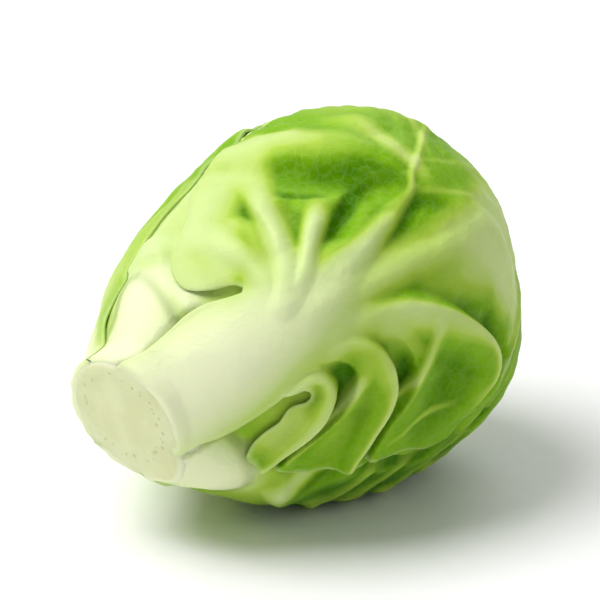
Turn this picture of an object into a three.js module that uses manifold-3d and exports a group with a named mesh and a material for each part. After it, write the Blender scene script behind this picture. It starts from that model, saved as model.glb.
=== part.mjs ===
// A brussels sprout lying on its side: a cut stem that runs on inside as a core, five wrapper leaves
// outermost, five more under them, three that close over the crown, and the tight heart. Millimetres,
// +Z up, the cut towards -X.
//
// Every leaf is a shell round the centre of the head, so a point of it is a direction and a distance.
// A direction is given by two angles in degrees: "down" from the stem's axis (0 at the cut, 180 at the
// crown), and "round" it. A leaf's own chart has x across the leaf and y from its base to its tip, in
// degrees as seen from the centre.
import * as THREE from "three";
import Module from "manifold-3d";

// Driving dimensions
const HEAD_RADIUS = 19; // the head at its widest, halved
const STEM_REACH = 32; // where the head's outline would close beyond the cut, from the centre
const CROWN_REACH = 18.2; // from the centre to the crown
const OUTLINE_POWER = 0.6; // 0.5 is an ellipse; more draws the sides in towards the stem
const CUT_DISTANCE = 30.6; // from the centre to the cut face
const CUT_SLOPE = 0.17; // the cut is not quite square to the stem
const STEM_RADIUS = 5.8;
const COLLAR_RADIUS = 6.9; // round the outermost stalks where they end, just short of the cut
const COLLAR_STEP = 0.4; // how far short of it they end
const CORE_END = 3; // how near to the centre the core runs
const STEM_DROOP = 7.3; // degrees that the cut points below the horizontal
const FRONT_ROLL = 54.6; // degrees from straight up round to the front leaf's middle
const FLOOR_DISTANCE = 18.2; // from the centre down to the flat that the sprout rests on

const BLADE = 0.68; // a leaf's thickness away from its ribs
const GAP = 0.34; // clearance between a leaf and what lies over it
const CLEARANCE = 0.24; // the least of it between flat triangles
const HEART_REACH = 16; // the heart's own limit towards the stem
const CHART_DOWN = 85; // where each leaf's chart has its middle
const DEGREE = Math.PI / 180;

const wasm = await Module();
wasm.setup();
const { Manifold, Mesh } = wasm;

// ---------------------------------------------------------------- placing, directions and the head's outline

const upright = new THREE.Vector3(-Math.sin(STEM_DROOP * DEGREE), 0, Math.cos(STEM_DROOP * DEGREE));
const sideways = new THREE.Vector3(0, 1, 0);
const cos = (angle) => Math.cos(angle * DEGREE);
const sin = (angle) => Math.sin(angle * DEGREE);
const blend = (a, wa, b, wb) => a.clone().multiplyScalar(wa).addScaledVector(b, wb);
const placing = new THREE.Matrix4().makeBasis(
  blend(upright, cos(FRONT_ROLL), sideways, -sin(FRONT_ROLL)),
  blend(upright, sin(FRONT_ROLL), sideways, cos(FRONT_ROLL)),
  new THREE.Vector3(-Math.cos(STEM_DROOP * DEGREE), 0, -Math.sin(STEM_DROOP * DEGREE)),
);
placing.premultiply(new THREE.Matrix4().makeTranslation(0, 0, FLOOR_DISTANCE));
const floorward = new THREE.Vector3(0, 0, -1).transformDirection(placing.clone().invert());

const direction = (down, round) => (
  new THREE.Vector3(sin(down) * cos(round), sin(down) * sin(round), cos(down))
);
const clamp = THREE.MathUtils.clamp;
const lerp = THREE.MathUtils.lerp;
const angleOf = (cosine) => Math.acos(clamp(cosine, -1, 1)) / DEGREE;

// 0 at `from`, 1 at `to`, in either order.
function fade(value, from, to) {
  const t = clamp((value - from) / (to - from), 0, 1);
  return t * t * (3 - 2 * t);
}

// The lesser of two, rounded off where they cross.
function softMin(a, b, width) {
  const near = Math.max(width - Math.abs(a - b), 0) / width;
  return Math.min(a, b) - near * near * width * 0.25;
}

// The head's outline as a distance from the centre, one entry for each degree down from the stem's axis.
function outlineRadius(along) {
  if (along < 0) return HEAD_RADIUS * Math.sqrt(Math.max(0, 1 - (along / CROWN_REACH) ** 2));
  return Math.max(COLLAR_RADIUS, HEAD_RADIUS * Math.max(0, 1 - (along / STEM_REACH) ** 2) ** OUTLINE_POWER);
}
const outline = [];
for (let down = 0; down <= 180; down += 1) {
  let low = 0;
  let high = 40;
  for (let step = 0; step < 50; step += 1) {
    const middle = (low + high) / 2;
    const along = middle * cos(down);
    if (middle * sin(down) < outlineRadius(along) && along < STEM_REACH) low = middle;
    else high = middle;
  }
  outline.push(low);
}

// Where the head is fuller or flatter than that outline: [down, round, how far it spreads, by how much]
const SWELLS = [
  [62, 104, 34, -1.1], [24, -104, 26, 1.3], [136, -35, 34, -0.9], [118, 60, 24, 0.2], [74, -104, 32, 0.7],
].map(([down, round, spread, by]) => ({ middle: direction(down, round), spread, by }));

function headAt(d) {
  const down = angleOf(d.z);
  const step = Math.min(179, Math.floor(down));
  const round = lerp(outline[step], outline[step + 1], down - step);
  return SWELLS.reduce((sum, s) => sum + s.by * fade(angleOf(d.dot(s.middle)), s.spread, 0), round);
}

// ---------------------------------------------------------------- strokes: ribs, folds and bulges

// A stroke is a line of [x, y, height, width] on a chart; `lean` is the width on its right-hand side
// over that on its left, and `power` makes its top flatter when it is over 2.
function strokeAt(stroke, x, y) {
  const { line, lean = 1, power = 2, edge = 2 } = stroke;
  let nearest = Infinity;
  let value = 0;
  for (let i = 0; i + 1 < line.length; i += 1) {
    const [ax, ay, ah, aw] = line[i];
    const [bx, by, bh, bw] = line[i + 1];
    const dx = bx - ax;
    const dy = by - ay;
    const t = clamp(((x - ax) * dx + (y - ay) * dy) / (dx * dx + dy * dy), 0, 1);
    const distance = Math.hypot(x - ax - t * dx, y - ay - t * dy);
    if (distance >= nearest) continue;
    nearest = distance;
    const right = (x - ax) * dy - (y - ay) * dx > 0;
    const across = distance / (lerp(aw, bw, t) * (right ? lean : 1));
    value = across < 1 ? lerp(ah, bh, t) * (1 - across ** power) ** edge : 0;
  }
  return value;
}
const sumOf = (strokes, x, y) => strokes.reduce((sum, stroke) => sum + strokeAt(stroke, x, y), 0);
const mostOf = (strokes, x, y) => strokes.reduce((most, stroke) => Math.max(most, strokeAt(stroke, x, y)), 0);

// A closed curve through the points, as a polygon.
function smoothLoop(points, steps) {
  const corners = points.map(([x, y]) => new THREE.Vector3(x, y, 0));
  const curve = new THREE.CatmullRomCurve3(corners, true, "centripetal");
  return curve.getPoints(steps).slice(0, -1).map((p) => [p.x, p.y]);
}

// Signed distance to a polygon, positive inside, and the nearest point on it.
function toPolygon(polygon, x, y) {
  let best = Infinity;
  let foot = polygon[0];
  let inside = false;
  for (let i = 0, j = polygon.length - 1; i < polygon.length; j = i, i += 1) {
    const [ax, ay] = polygon[j];
    const [bx, by] = polygon[i];
    const dx = bx - ax;
    const dy = by - ay;
    const t = clamp(((x - ax) * dx + (y - ay) * dy) / (dx * dx + dy * dy), 0, 1);
    const squared = (x - ax - t * dx) ** 2 + (y - ay - t * dy) ** 2;
    if (squared < best) {
      best = squared;
      foot = [ax + t * dx, ay + t * dy];
    }
    if (ay > y !== by > y && x < ax + ((y - ay) / dy) * dx) inside = !inside;
  }
  return { edge: Math.sqrt(best) * (inside ? 1 : -1), foot };
}

// ---------------------------------------------------------------- the front leaf

const frontLeaf = {
  name: "wrapper_leaf_1",
  round: 5,
  level: 0,
  cell: 3.8,
  outline: [
    [9, -79], [11, -71], [13.5, -65], [13.5, -60], [11.5, -55], [10.5, -51], [13.5, -52.5], [16, -57.5],
    [20, -61.5], [26, -62], [32, -60.5], [38, -56], [43, -50.5], [49, -47], [57, -41], [64, -33],
    [69, -22], [71.5, -12], [72, -2], [71, 10], [67, 24], [59, 38], [48, 50], [35, 59], [20, 64],
    [5, 63.5], [-9, 58], [-21, 50.5], [-31, 42],
    [-40, 33], [-48, 24], [-55, 17], [-62, 11.5], [-65, 5], [-64.5, -1], [-68, -6], [-71.5, -12], [-70, -23],
    [-65, -31], [-60, -38], [-55, -48], [-48, -58], [-43, -63.5], [-38, -67.5], [-32, -69.5], [-26, -68.5],
    [-21.5, -69], [-19.5, -74], [-20, -80], [-8, -83],
  ],
  stalk: [
    [-4.5, -84, 4.4, 16], [-4.5, -70, 4.0, 15.5], [-3.5, -61, 3.4, 16], [-4, -54, 2.7, 15],
    [-4, -48, 2.0, 13], [-2.5, -42, 1.4, 10.5], [-1, -36, 1.0, 8], [1, -30, 0.7, 5.5],
    [4, -22, 0.5, 4], [7, -12, 0.45, 3.2],
    [10, 0, 0.4, 2.8], [17, 10, 0.35, 2.6], [25, 26, 0.25, 2.4], [30, 50, 0.1, 2],
  ],
  ribs: [
    { line: [[4, -44, 0.7, 4.5], [14, -39, 0.65, 3.4], [28, -37, 0.6, 2.8], [45, -32, 0.5, 2.6],
      [61, -21, 0.2, 2.4]] },
    { line: [[8, -46, 0.3, 3.4], [21, -47, 0.4, 2.8], [35, -52, 0.15, 2.2]] },
    { line: [[5, -39, 0.6, 3.6], [12, -33, 0.5, 2.6], [20, -24, 0.45, 2.4], [27, -13, 0.35, 2.2],
      [41, 6, 0.1, 2]] },
    { line: [[-4, -38, 0.5, 4.5], [-7, -19, 0.55, 4], [-7, -6, 0.5, 3.8], [-8, 8, 0.4, 3],
      [-5, 26, 0.1, 2.4]] },
  ],
  lifts: [
    // the folds from the stalk's far side out to the margin: each rises slowly to a rim and drops beyond it
    { line: [[-12, -38, 0.3, 5], [-14, -24, 1.1, 8], [-17, -16, 1.5, 11], [-28, -4, 2.0, 14],
      [-44, 10, 1.9, 14], [-53, 13.5, 1.5, 12], [-60, 11, 1.1, 9], [-66, 4, 0.8, 7]], lean: 0.42 },
    { line: [[-16, -44, 0.2, 4], [-18, -36, 1.3, 6], [-24, -33, 1.9, 8], [-35, -32.5, 2.1, 11],
      [-44, -37, 1.9, 12], [-50, -42, 1.6, 11], [-57, -46, 1.3, 10]], lean: 0.5 },
    { line: [[-21.5, -49.5, 1.1, 4.5], [-24.5, -54, 1.7, 6], [-28, -60, 1.7, 6.6], [-31, -68, 1.5, 7]],
      power: 4 },
    { line: [[-24, -17, 0.2, 4], [-33, -15, 0.7, 4.5], [-39, -22, 0.8, 4.5], [-46, -33, 0.7, 4.5],
      [-54, -41, 0.4, 5]] },
    { line: [[-29, -42.5, 0.6, 4], [-31, -51, 0.6, 4], [-36, -62, 0.5, 4]] },
    // bulges between the ribs, and the curl of the near margin
    { line: [[62, -22, 0.5, 8], [50, -15, 1.0, 9], [37, -7, 0.9, 9], [26, 4, 0.5, 8]] },
    { line: [[-1, 19, 0.7, 9], [-12, 25, 0.8, 9], [-22, 28, 0.5, 7]] },
    { line: [[44, 12, 0.5, 10], [44, 26, 0.6, 11], [34, 38, 0.4, 9]] },
    { line: [[18, -58, 0.5, 6], [30, -57, 0.7, 7], [42, -48, 0.6, 7], [56, -39, 0.5, 7],
      [66, -26, 0.4, 7]] },
  ],
  hollows: [
    { line: [[-24, -46, 0.7, 8], [-40, -40, 1.2, 22], [-50, -18, 1.2, 22], [-40, 2, 0.9, 14]] },
    { line: [[-26, 9, 0.9, 8], [-46, 17, 0.7, 6]] },
    { line: [[42, -27, 0.7, 8], [30, -16, 0.8, 8], [21, -9, 0.5, 6]] },
    { line: [[13, -20, 0.5, 6], [17, -6, 0.5, 6], [5, 5, 0.6, 6]] },
  ],
};

// ---------------------------------------------------------------- the other leaves, of one pattern

// Steady numbers between -1 and 1 that look unrelated.
const vary = (seed, i) => {
  const wave = Math.sin(seed * 12.9898 + i * 78.233) * 43758.5453;
  return 2 * (wave - Math.floor(wave)) - 1;
};

// half of the pattern's margin, from the base of the stalk to the tip
const PATTERN = [
  [9.4, -79], [10, -71], [10.8, -64], [10.6, -57], [14, -55], [21, -59], [31, -58.5], [41, -53],
  [50, -44], [58, -32], [63, -17], [64, -2], [61, 12], [54, 24], [43, 34], [30, 40.5], [15, 44],
];

function patternLeaf({ name, round, level, cell, seed, wide, reach, base, stalkHeight, shift, foldHeight }) {
  const sway = (y) => shift * fade(y, -40, -75) + 3 * vary(seed, 1) * fade(y, -30, 40);
  const fit = ([x, y], side, i) => {
    const widened = Math.abs(x) * lerp(1, wide, fade(y, -60, -40)) + 2.4 * vary(seed, 10 + i + 30 * side);
    const up = y < 0 ? y * (y < -60 ? base : 1) : y * reach;
    return [side * widened + sway(y), up + 1.6 * vary(seed, 90 + i + 30 * side) * fade(y, -50, -40)];
  };
  const left = PATTERN.map((p, i) => fit(p, -1, i)).reverse();
  const right = PATTERN.map((p, i) => fit(p, 1, i));
  const tip = 46 * reach;
  const stalk = [
    [sway(-84), -86, stalkHeight, 13], [sway(-72), -72, stalkHeight, 12.5],
    [sway(-60), -60, 0.8 * stalkHeight, 12],
    [0, -48, 0.5 * stalkHeight, 9.5], [0, -36, 0.3 * stalkHeight + 0.2, 6], [sway(-20), -20, 0.6, 4],
    [sway(5), 5, 0.45, 3.2], [sway(tip), tip - 6, 0.1, 2.4],
  ];
  const ribs = [];
  const lifts = [];
  const hollows = [];
  for (const side of [-1, 1]) {
    for (let i = 0; i < 4; i += 1) {
      const start = -44 + i * 15 + 3 * vary(seed, 50 + i + 7 * side);
      const run = (54 - 7 * Math.abs(i - 1)) * wide;
      const rise = 16 + 11 * i * reach + 4 * vary(seed, 60 + i + 7 * side);
      const at = (t, height, width) => [
        sway(start) + side * run * t, start + rise * t ** 1.5 + 5 * t * (1 - t), height, width,
      ];
      ribs.push({ line: [at(0.02, 0.6, 4.2), at(0.3, 0.5, 3), at(0.65, 0.4, 2.6), at(0.95, 0.1, 2.2)] });
      const height = foldHeight * (0.75 + 0.5 * vary(seed, 70 + i + 7 * side));
      const lean = side > 0 ? 2 : 0.5;
      const fold = (t, h, w) => {
        const [x, y] = at(t, 0, 0);
        return [x + side * 2, y + 7, height * h, w];
      };
      const crest = [fold(0.3, 0.2, 4), fold(0.6, 0.8, 5.5), fold(0.85, 1, 6.5), fold(1.1, 0.8, 6.5)];
      lifts.push({ line: crest, lean });
      const dip = [at(0.3, 0.3, 7), at(0.6, 0.6, 8), at(0.9, 0.3, 8)];
      hollows.push({ line: dip.map(([x, y, h, w]) => [x, y - 5, h, w]) });
    }
  }
  const outline = [[sway(-84), -84 * base], ...right, ...left];
  return { name, round, level, cell, outline, stalk, ribs, lifts, hollows };
}

const leaves = [
  frontLeaf,
  patternLeaf({ name: "wrapper_leaf_2", round: 149, level: 0.1, cell: 7, seed: 2, wide: 1.02, reach: 1.25,
    base: 1, stalkHeight: 3.8, shift: -2.6, foldHeight: 1.3 }),
  patternLeaf({ name: "wrapper_leaf_3", round: -77, level: 0.45, cell: 7, seed: 5, wide: 0.95, reach: 1.3,
    base: 1, stalkHeight: 3.8, shift: -1.8, foldHeight: 1.1 }),
  patternLeaf({ name: "wrapper_leaf_4", round: 74, level: 0.4, cell: 7, seed: 7, wide: 1.0, reach: 1.4,
    base: 1, stalkHeight: 3.8, shift: -1.2, foldHeight: 1.0 }),
  patternLeaf({ name: "wrapper_leaf_5", round: -142, level: 0.6, cell: 7.2, seed: 11, wide: 1.0, reach: 1.2,
    base: 1, stalkHeight: 3.8, shift: -2.8, foldHeight: 0.9 }),
];
const SECOND = [[41, 0.9], [185, 1.0], [-31, 1.15], [113, 1.2], [-103, 1.3]];
SECOND.forEach(([round, level], i) => {
  leaves.push(patternLeaf({ name: `inner_leaf_${i + 1}`, round, level, cell: 10.2, seed: 20 + i, wide: 0.88,
    reach: 1.75 + 0.15 * (i % 2), base: 0.97, stalkHeight: 2.2, shift: 0, foldHeight: 0.35 }));
});
const CROWN = [[70, 1.7], [-60, 1.9], [-170, 2.0]];
CROWN.forEach(([round, level], i) => {
  leaves.push(patternLeaf({ name: `crown_leaf_${i + 1}`, round, level, cell: 11.4, seed: 40 + i, wide: 0.92,
    reach: 2.15 + 0.08 * i, base: 0.92, stalkHeight: 1.2, shift: 0, foldHeight: 0.25 }));
});

for (const leaf of leaves) {
  leaf.polygon = smoothLoop(leaf.outline, 110);
  leaf.middle = direction(CHART_DOWN, leaf.round);
  leaf.across = new THREE.Vector3(-sin(leaf.round), cos(leaf.round), 0);
  leaf.along = new THREE.Vector3(
    cos(CHART_DOWN) * cos(leaf.round),
    cos(CHART_DOWN) * sin(leaf.round),
    -sin(CHART_DOWN),
  );
}

function toChart(leaf, d) {
  const away = angleOf(d.dot(leaf.middle));
  const x = d.dot(leaf.across);
  const y = d.dot(leaf.along);
  const scale = away / Math.max(1e-9, Math.hypot(x, y));
  return [x * scale, y * scale];
}
function fromChart(leaf, x, y) {
  const away = Math.hypot(x, y);
  if (away < 1e-9) return leaf.middle.clone();
  const d = leaf.middle.clone().multiplyScalar(cos(away));
  d.addScaledVector(leaf.across, (sin(away) * x) / away);
  return d.addScaledVector(leaf.along, (sin(away) * y) / away);
}

// ---------------------------------------------------------------- the stack of shells

const MM_PER_DEGREE = HEAD_RADIUS * DEGREE;

// Where a leaf would run if nothing lay over it, and how thick it is there.
function freeFaces(leaf, d) {
  const [x, y] = toChart(leaf, d);
  const low = fade(angleOf(d.dot(floorward)), 34, 18);
  const calm = 1 - low;
  const stalk = strokeAt({ line: leaf.stalk, edge: 0.8 }, x, y);
  const rise = (px, py) => calm * (sumOf(leaf.lifts, px, py) - sumOf(leaf.hollows, px, py));
  const here = rise(x, y);
  const slope = Math.hypot(rise(x + 1, y) - here, rise(x, y + 1) - here) / MM_PER_DEGREE;
  const bare = 1 - Math.min(1, stalk / Math.max(0.1, leaf.stalk[1][2] * 0.75));
  const sunk = 1.5 * fade(y, -44, -60) * fade(y, -73, -66) * bare;
  const rib = Math.max(mostOf(leaf.ribs, x, y), Math.min(stalk, 0.7) * fade(y, -60, -40));
  const outer = headAt(d) - leaf.level + here + rib - sunk;
  const thick = BLADE * Math.min(1.9, Math.hypot(1, slope)) + Math.max(stalk, rib) + 0.4 * low;
  return { outer, thick, edge: toPolygon(leaf.polygon, x, y).edge };
}

// The outer face of leaf number `order`, or of the heart after the last leaf, kept under all that lie
// over it. A leaf clears the one over it by a band of `apron` degrees outside that one's margin, and then
// comes up beside it.
function stackAt(order, d, apron) {
  const floor = d.dot(floorward) > 0.2 ? FLOOR_DISTANCE / d.dot(floorward) : Infinity;
  const stalks = fade(angleOf(d.z), 38, 25);
  let ceiling = Infinity;
  for (let i = 0; ; i += 1) {
    const free = i < leaves.length ? freeFaces(leaves[i], d) : { outer: headAt(d) - 3.6, thick: 3, edge: 1 };
    const lid = Math.min(floor, ceiling);
    const eased = ceiling < Infinity ? softMin(free.outer, ceiling, 0.3) : free.outer;
    const outer = Math.min(eased, lid);
    if (i === order) return { outer, thick: free.thick };
    const clear = Math.max(0, -free.edge - lerp(apron, 0.8, stalks));
    const under = outer - free.thick - GAP + lerp(0.11, 1.6, stalks) * clear + 0.006 * clear * clear;
    if (free.edge > -40) ceiling = Math.min(ceiling, under);
  }
}

// ---------------------------------------------------------------- meshes

// Triangles over a polygon: an even lattice inside it, with its border moved out to the polygon.
function latticeOver(polygon, cell) {
  const xs = polygon.map((p) => p[0]);
  const ys = polygon.map((p) => p[1]);
  const rowHeight = cell * Math.sqrt(0.75);
  const [x0, y0] = [Math.min(...xs) - cell, Math.min(...ys) - rowHeight];
  const columns = Math.ceil((Math.max(...xs) - x0) / cell) + 2;
  const rows = Math.ceil((Math.max(...ys) - y0) / rowHeight) + 2;
  const points = [];
  const kept = [];
  for (let row = 0; row < rows; row += 1) {
    for (let column = 0; column < columns; column += 1) {
      const point = [x0 + (column + (row % 2) / 2) * cell, y0 + row * rowHeight];
      points.push(point);
      kept.push(toPolygon(polygon, ...point).edge > -0.3 * cell);
    }
  }
  let triangles = [];
  for (let row = 0; row + 1 < rows; row += 1) {
    for (let column = 0; column + 1 < columns; column += 1) {
      const a = row * columns + column;
      const c = a + columns;
      if (row % 2) triangles.push([a, a + 1, c + 1], [a, c + 1, c]);
      else triangles.push([a, a + 1, c], [a + 1, c + 1, c]);
    }
  }
  const middleInside = (t) => {
    const x = (points[t[0]][0] + points[t[1]][0] + points[t[2]][0]) / 3;
    const y = (points[t[0]][1] + points[t[1]][1] + points[t[2]][1]) / 3;
    return toPolygon(polygon, x, y).edge > 0.05 * cell;
  };
  triangles = triangles.filter((t) => t.every((v) => kept[v]) && middleInside(t));
  const areaOf = ([a, b, c]) =>
    ((points[b][0] - points[a][0]) * (points[c][1] - points[a][1]) -
      (points[c][0] - points[a][0]) * (points[b][1] - points[a][1])) / 2;
  for (let pass = 0; pass < 8; pass += 1) {
    const border = borderOf(triangles);
    const pinched = new Set([...border.count].filter(([, n]) => n > 2).map(([v]) => v));
    if (pinched.size) {
      triangles = triangles.filter((t) => !t.some((v) => pinched.has(v)));
      continue;
    }
    for (const v of border.count.keys()) points[v] = toPolygon(polygon, ...points[v]).foot;
    settle(points, triangles, border.count);
    const before = triangles.length;
    triangles = triangles.filter((t) => areaOf(t) > 0.1 * cell * cell * 0.43);
    if (triangles.length === before) break;
  }
  return { points, triangles };
}

function borderOf(triangles) {
  const once = new Map();
  for (const [a, b, c] of triangles) {
    for (const [p, q] of [[a, b], [b, c], [c, a]]) {
      if (!once.delete(`${q}_${p}`)) once.set(`${p}_${q}`, [p, q]);
    }
  }
  const edges = [...once.values()];
  const count = new Map();
  for (const edge of edges) for (const v of edge) count.set(v, (count.get(v) ?? 0) + 1);
  return { edges, count };
}

// Each inner point goes to the middle of its neighbours, a few times over.
function settle(points, triangles, fixed) {
  for (let pass = 0; pass < 3; pass += 1) {
    const sums = new Map();
    for (const t of triangles) {
      for (let i = 0; i < 3; i += 1) {
        const sum = sums.get(t[i]) ?? [0, 0, 0];
        for (const other of [t[(i + 1) % 3], t[(i + 2) % 3]]) {
          sum[0] += points[other][0];
          sum[1] += points[other][1];
          sum[2] += 1;
        }
        sums.set(t[i], sum);
      }
    }
    for (const [v, [x, y, n]] of sums) if (!fixed.has(v)) points[v] = [x / n, y / n];
  }
}

// A closed solid from corner positions in the sprout's own axes and triangles that face outwards.
function solidFrom(corners, triangles) {
  const numbers = new Map();
  const vertices = [];
  const number = (i) => {
    if (!numbers.has(i)) {
      numbers.set(i, vertices.length / 3);
      vertices.push(...corners(i).applyMatrix4(placing).toArray());
    }
    return numbers.get(i);
  };
  const faces = triangles.flat().map(number);
  const vertProperties = new Float32Array(vertices);
  const mesh = new Mesh({ numProp: 3, vertProperties, triVerts: new Uint32Array(faces) });
  mesh.merge();
  return new Manifold(mesh);
}

// Triangles of a shell by the part of the unit sphere that they lie in, each with its middle and how far
// it spreads.
const BUCKETS = 9;
const bucketOf = (value) => Math.floor((value + 1.001) * BUCKETS);
function bucketed(shell) {
  shell.buckets = new Map();
  for (const t of shell.triangles) {
    const corners = t.map((v) => shell.directions[v]);
    const middle = new THREE.Vector3().add(corners[0]).add(corners[1]).add(corners[2]).normalize();
    const entry = { t, middle, spread: Math.min(...corners.map((d) => d.dot(middle))) - 1e-6 };
    const box = new THREE.Box3().setFromPoints(corners).expandByScalar(0.02);
    for (let i = bucketOf(box.min.x); i <= bucketOf(box.max.x); i += 1) {
      for (let j = bucketOf(box.min.y); j <= bucketOf(box.max.y); j += 1) {
        for (let k = bucketOf(box.min.z); k <= bucketOf(box.max.z); k += 1) {
          const key = (i * 64 + j) * 64 + k;
          if (!shell.buckets.has(key)) shell.buckets.set(key, []);
          shell.buckets.get(key).push(entry);
        }
      }
    }
  }
  return shell;
}

// The triangle of a shell that a direction runs through, and the distance to it when its corners are
// `reach` away.
function pierce(shell, reach, d) {
  const key = (bucketOf(d.x) * 64 + bucketOf(d.y)) * 64 + bucketOf(d.z);
  for (const { t, middle, spread } of shell.buckets.get(key) ?? []) {
    if (d.dot(middle) < spread) continue;
    const [a, b, c] = t.map((v) => shell.directions[v].clone().multiplyScalar(reach[v]));
    const bc = new THREE.Vector3().crossVectors(b, c);
    const wa = bc.dot(d);
    const wb = new THREE.Vector3().crossVectors(c, a).dot(d);
    const wc = new THREE.Vector3().crossVectors(a, b).dot(d);
    const sum = wa + wb + wc;
    if (sum !== 0 && Math.min(wa / sum, wb / sum, wc / sum) > -1e-6) return { t, distance: bc.dot(a) / sum };
  }
  return null;
}

// The corners, the middles of the edges and the middles of the triangles of one face of a shell.
const SHARES = [
  [1, 0, 0], [0, 1, 0], [0, 0, 1], [0.5, 0.5, 0], [0, 0.5, 0.5], [0.5, 0, 0.5], [0.34, 0.33, 0.33],
];
function samplesOf(shell, reach, use) {
  for (const t of shell.triangles) {
    for (const shares of SHARES) {
      const p = new THREE.Vector3();
      t.forEach((v, i) => p.addScaledVector(shell.directions[v], shares[i] * reach[v]));
      const distance = p.length();
      use(p.divideScalar(distance), distance, t.filter((v, i) => shares[i] > 0));
    }
  }
}

// Lowers a shell wherever it comes too near to a shell that lies over it.
function tuckUnder(shell, over) {
  for (let pass = 0; pass < 3; pass += 1) {
    for (const upper of over) {
      samplesOf(shell, shell.outer, (d, distance, corners) => {
        const hit = pierce(upper, upper.inner, d);
        const excess = hit ? distance - hit.distance + CLEARANCE : 0;
        if (excess > 0) for (const v of corners) shell.outer[v] -= excess;
      });
      samplesOf(upper, upper.inner, (d, distance) => {
        const hit = pierce(shell, shell.outer, d);
        const excess = hit ? hit.distance - distance + CLEARANCE : 0;
        if (excess > 0) for (const v of hit.t) shell.outer[v] -= excess;
      });
    }
  }
  shell.inner = shell.outer.map((outer, v) => outer - shell.thick[v]);
}

const shells = [];
function shellOf(order, directions, triangles, cell) {
  const faces = directions.map((d) => stackAt(order, d, Math.max(2, 0.5 * cell)));
  const outer = faces.map((f) => f.outer);
  const thick = faces.map((f) => f.thick);
  const shell = bucketed({ directions, triangles, outer, thick });
  tuckUnder(shell, shells);
  shells.push(shell);
  return shell;
}

function leafSolid(order) {
  const leaf = leaves[order];
  const { points, triangles } = latticeOver(leaf.polygon, leaf.cell);
  const shell = shellOf(order, points.map(([x, y]) => fromChart(leaf, x, y)), triangles, leaf.cell);
  const far = points.length;
  const corners = (i) =>
    shell.directions[i % far].clone().multiplyScalar(i < far ? shell.outer[i] : shell.inner[i - far]);
  const face = triangles.map(([a, b, c]) => [a, c, b]);
  const back = triangles.map(([a, b, c]) => [a + far, b + far, c + far]);
  const rim = borderOf(triangles).edges.flatMap(([a, b]) => [[a, b, b + far], [a, b + far, a + far]]);
  return solidFrom(corners, [...face, ...back, ...rim]);
}

// The corners' numbers of rings of `spokes` points between two poles, numbered 0 and 1.
function ringTriangles(rings, spokes, twist) {
  const at = (ring, spoke) => 2 + (ring - 1) * spokes + (spoke % spokes);
  const triangles = [];
  for (let spoke = 0; spoke < spokes; spoke += 1) {
    triangles.push([0, at(1, spoke), at(1, spoke + 1)], [1, at(rings, spoke + 1), at(rings, spoke)]);
    for (let ring = 1; ring < rings; ring += 1) {
      const [a, b] = [at(ring, spoke), at(ring, spoke + 1)];
      const [c, e] = [at(ring + 1, spoke), at(ring + 1, spoke + 1)];
      if (twist && ring % 2 === 0) triangles.push([a, c, e], [a, e, b]);
      else triangles.push([a, c, b], [b, c, e]);
    }
  }
  return triangles;
}

function heartSolid() {
  const rings = 13;
  const spokes = 22;
  const directions = [direction(0, 0), direction(180, 0)];
  for (let ring = 1; ring <= rings; ring += 1) {
    for (let spoke = 0; spoke < spokes; spoke += 1) {
      directions.push(direction((180 * ring) / (rings + 1), (360 * (spoke + 0.5 * (ring % 2))) / spokes));
    }
  }
  const shell = shellOf(leaves.length, directions, ringTriangles(rings, spokes, true), 12);
  const corners = (i) => shell.directions[i].clone().multiplyScalar(Math.min(shell.outer[i], HEART_REACH));
  return solidFrom(corners, shell.triangles);
}

// The stem and core, turned round the axis, before it is cut; `grow` is added all over.
function stemSolid(grow, spokes) {
  const top = CUT_DISTANCE + 5;
  const profile = [
    [2.6, CORE_END + 0.6 - grow], [3.9, CORE_END + 3], [4.6, 9], [5.2, 15], [5.6, 20], [STEM_RADIUS, 24],
    [STEM_RADIUS, 28], [STEM_RADIUS, top],
  ];
  const points = [new THREE.Vector3(0, 0, CORE_END - grow), new THREE.Vector3(0, 0, top + 0.1)];
  for (const [r, z] of profile) {
    for (let spoke = 0; spoke < spokes; spoke += 1) {
      const turn = (360 * spoke) / spokes;
      const reach = r + grow + 0.14 * cos(3 * turn + 40) + 0.1 * cos(5 * turn);
      points.push(new THREE.Vector3(reach * cos(turn), reach * sin(turn), z));
    }
  }
  const outwards = ringTriangles(profile.length, spokes, false).map(([a, b, c]) => [a, c, b]);
  return solidFrom((i) => points[i].clone(), outwards);
}

// What is left of a solid short of the sloping cut, or `short` of it.
function cutOff(solid, short) {
  const face = new THREE.Vector3(0, -CUT_SLOPE, 1).normalize();
  const distance = face.z * (CUT_DISTANCE - short);
  const away = face.clone().transformDirection(placing);
  const middle = new THREE.Vector3().setFromMatrixPosition(placing);
  return solid.trimByPlane(away.clone().negate().toArray(), -(distance + middle.dot(away)));
}

// ---------------------------------------------------------------- the group

// The one body of a solid that is all but the whole of it, without crumbs.
const largest = (solid) => solid.decompose().sort((a, b) => b.volume() - a.volume())[0];

const sheet = (color, roughness) => new THREE.MeshStandardMaterial({ color, roughness, metalness: 0 });
const wrapperGreen = sheet(0x86ad3a, 0.45);
const innerGreen = sheet(0x9dbb52, 0.5);
const heartGreen = sheet(0xc9d98a, 0.6);
const stemIvory = sheet(0xdcdcae, 0.7);

const bore = stemSolid(0.36, 18);
const pieces = leaves.map((leaf, order) => [
  leaf.name,
  largest(cutOff(leafSolid(order).subtract(bore), COLLAR_STEP)),
  order < 5 ? wrapperGreen : innerGreen,
]);
pieces.push(["heart", largest(heartSolid().subtract(bore)), heartGreen]);
pieces.unshift(["stem", cutOff(stemSolid(0, 24), 0), stemIvory]);

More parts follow.
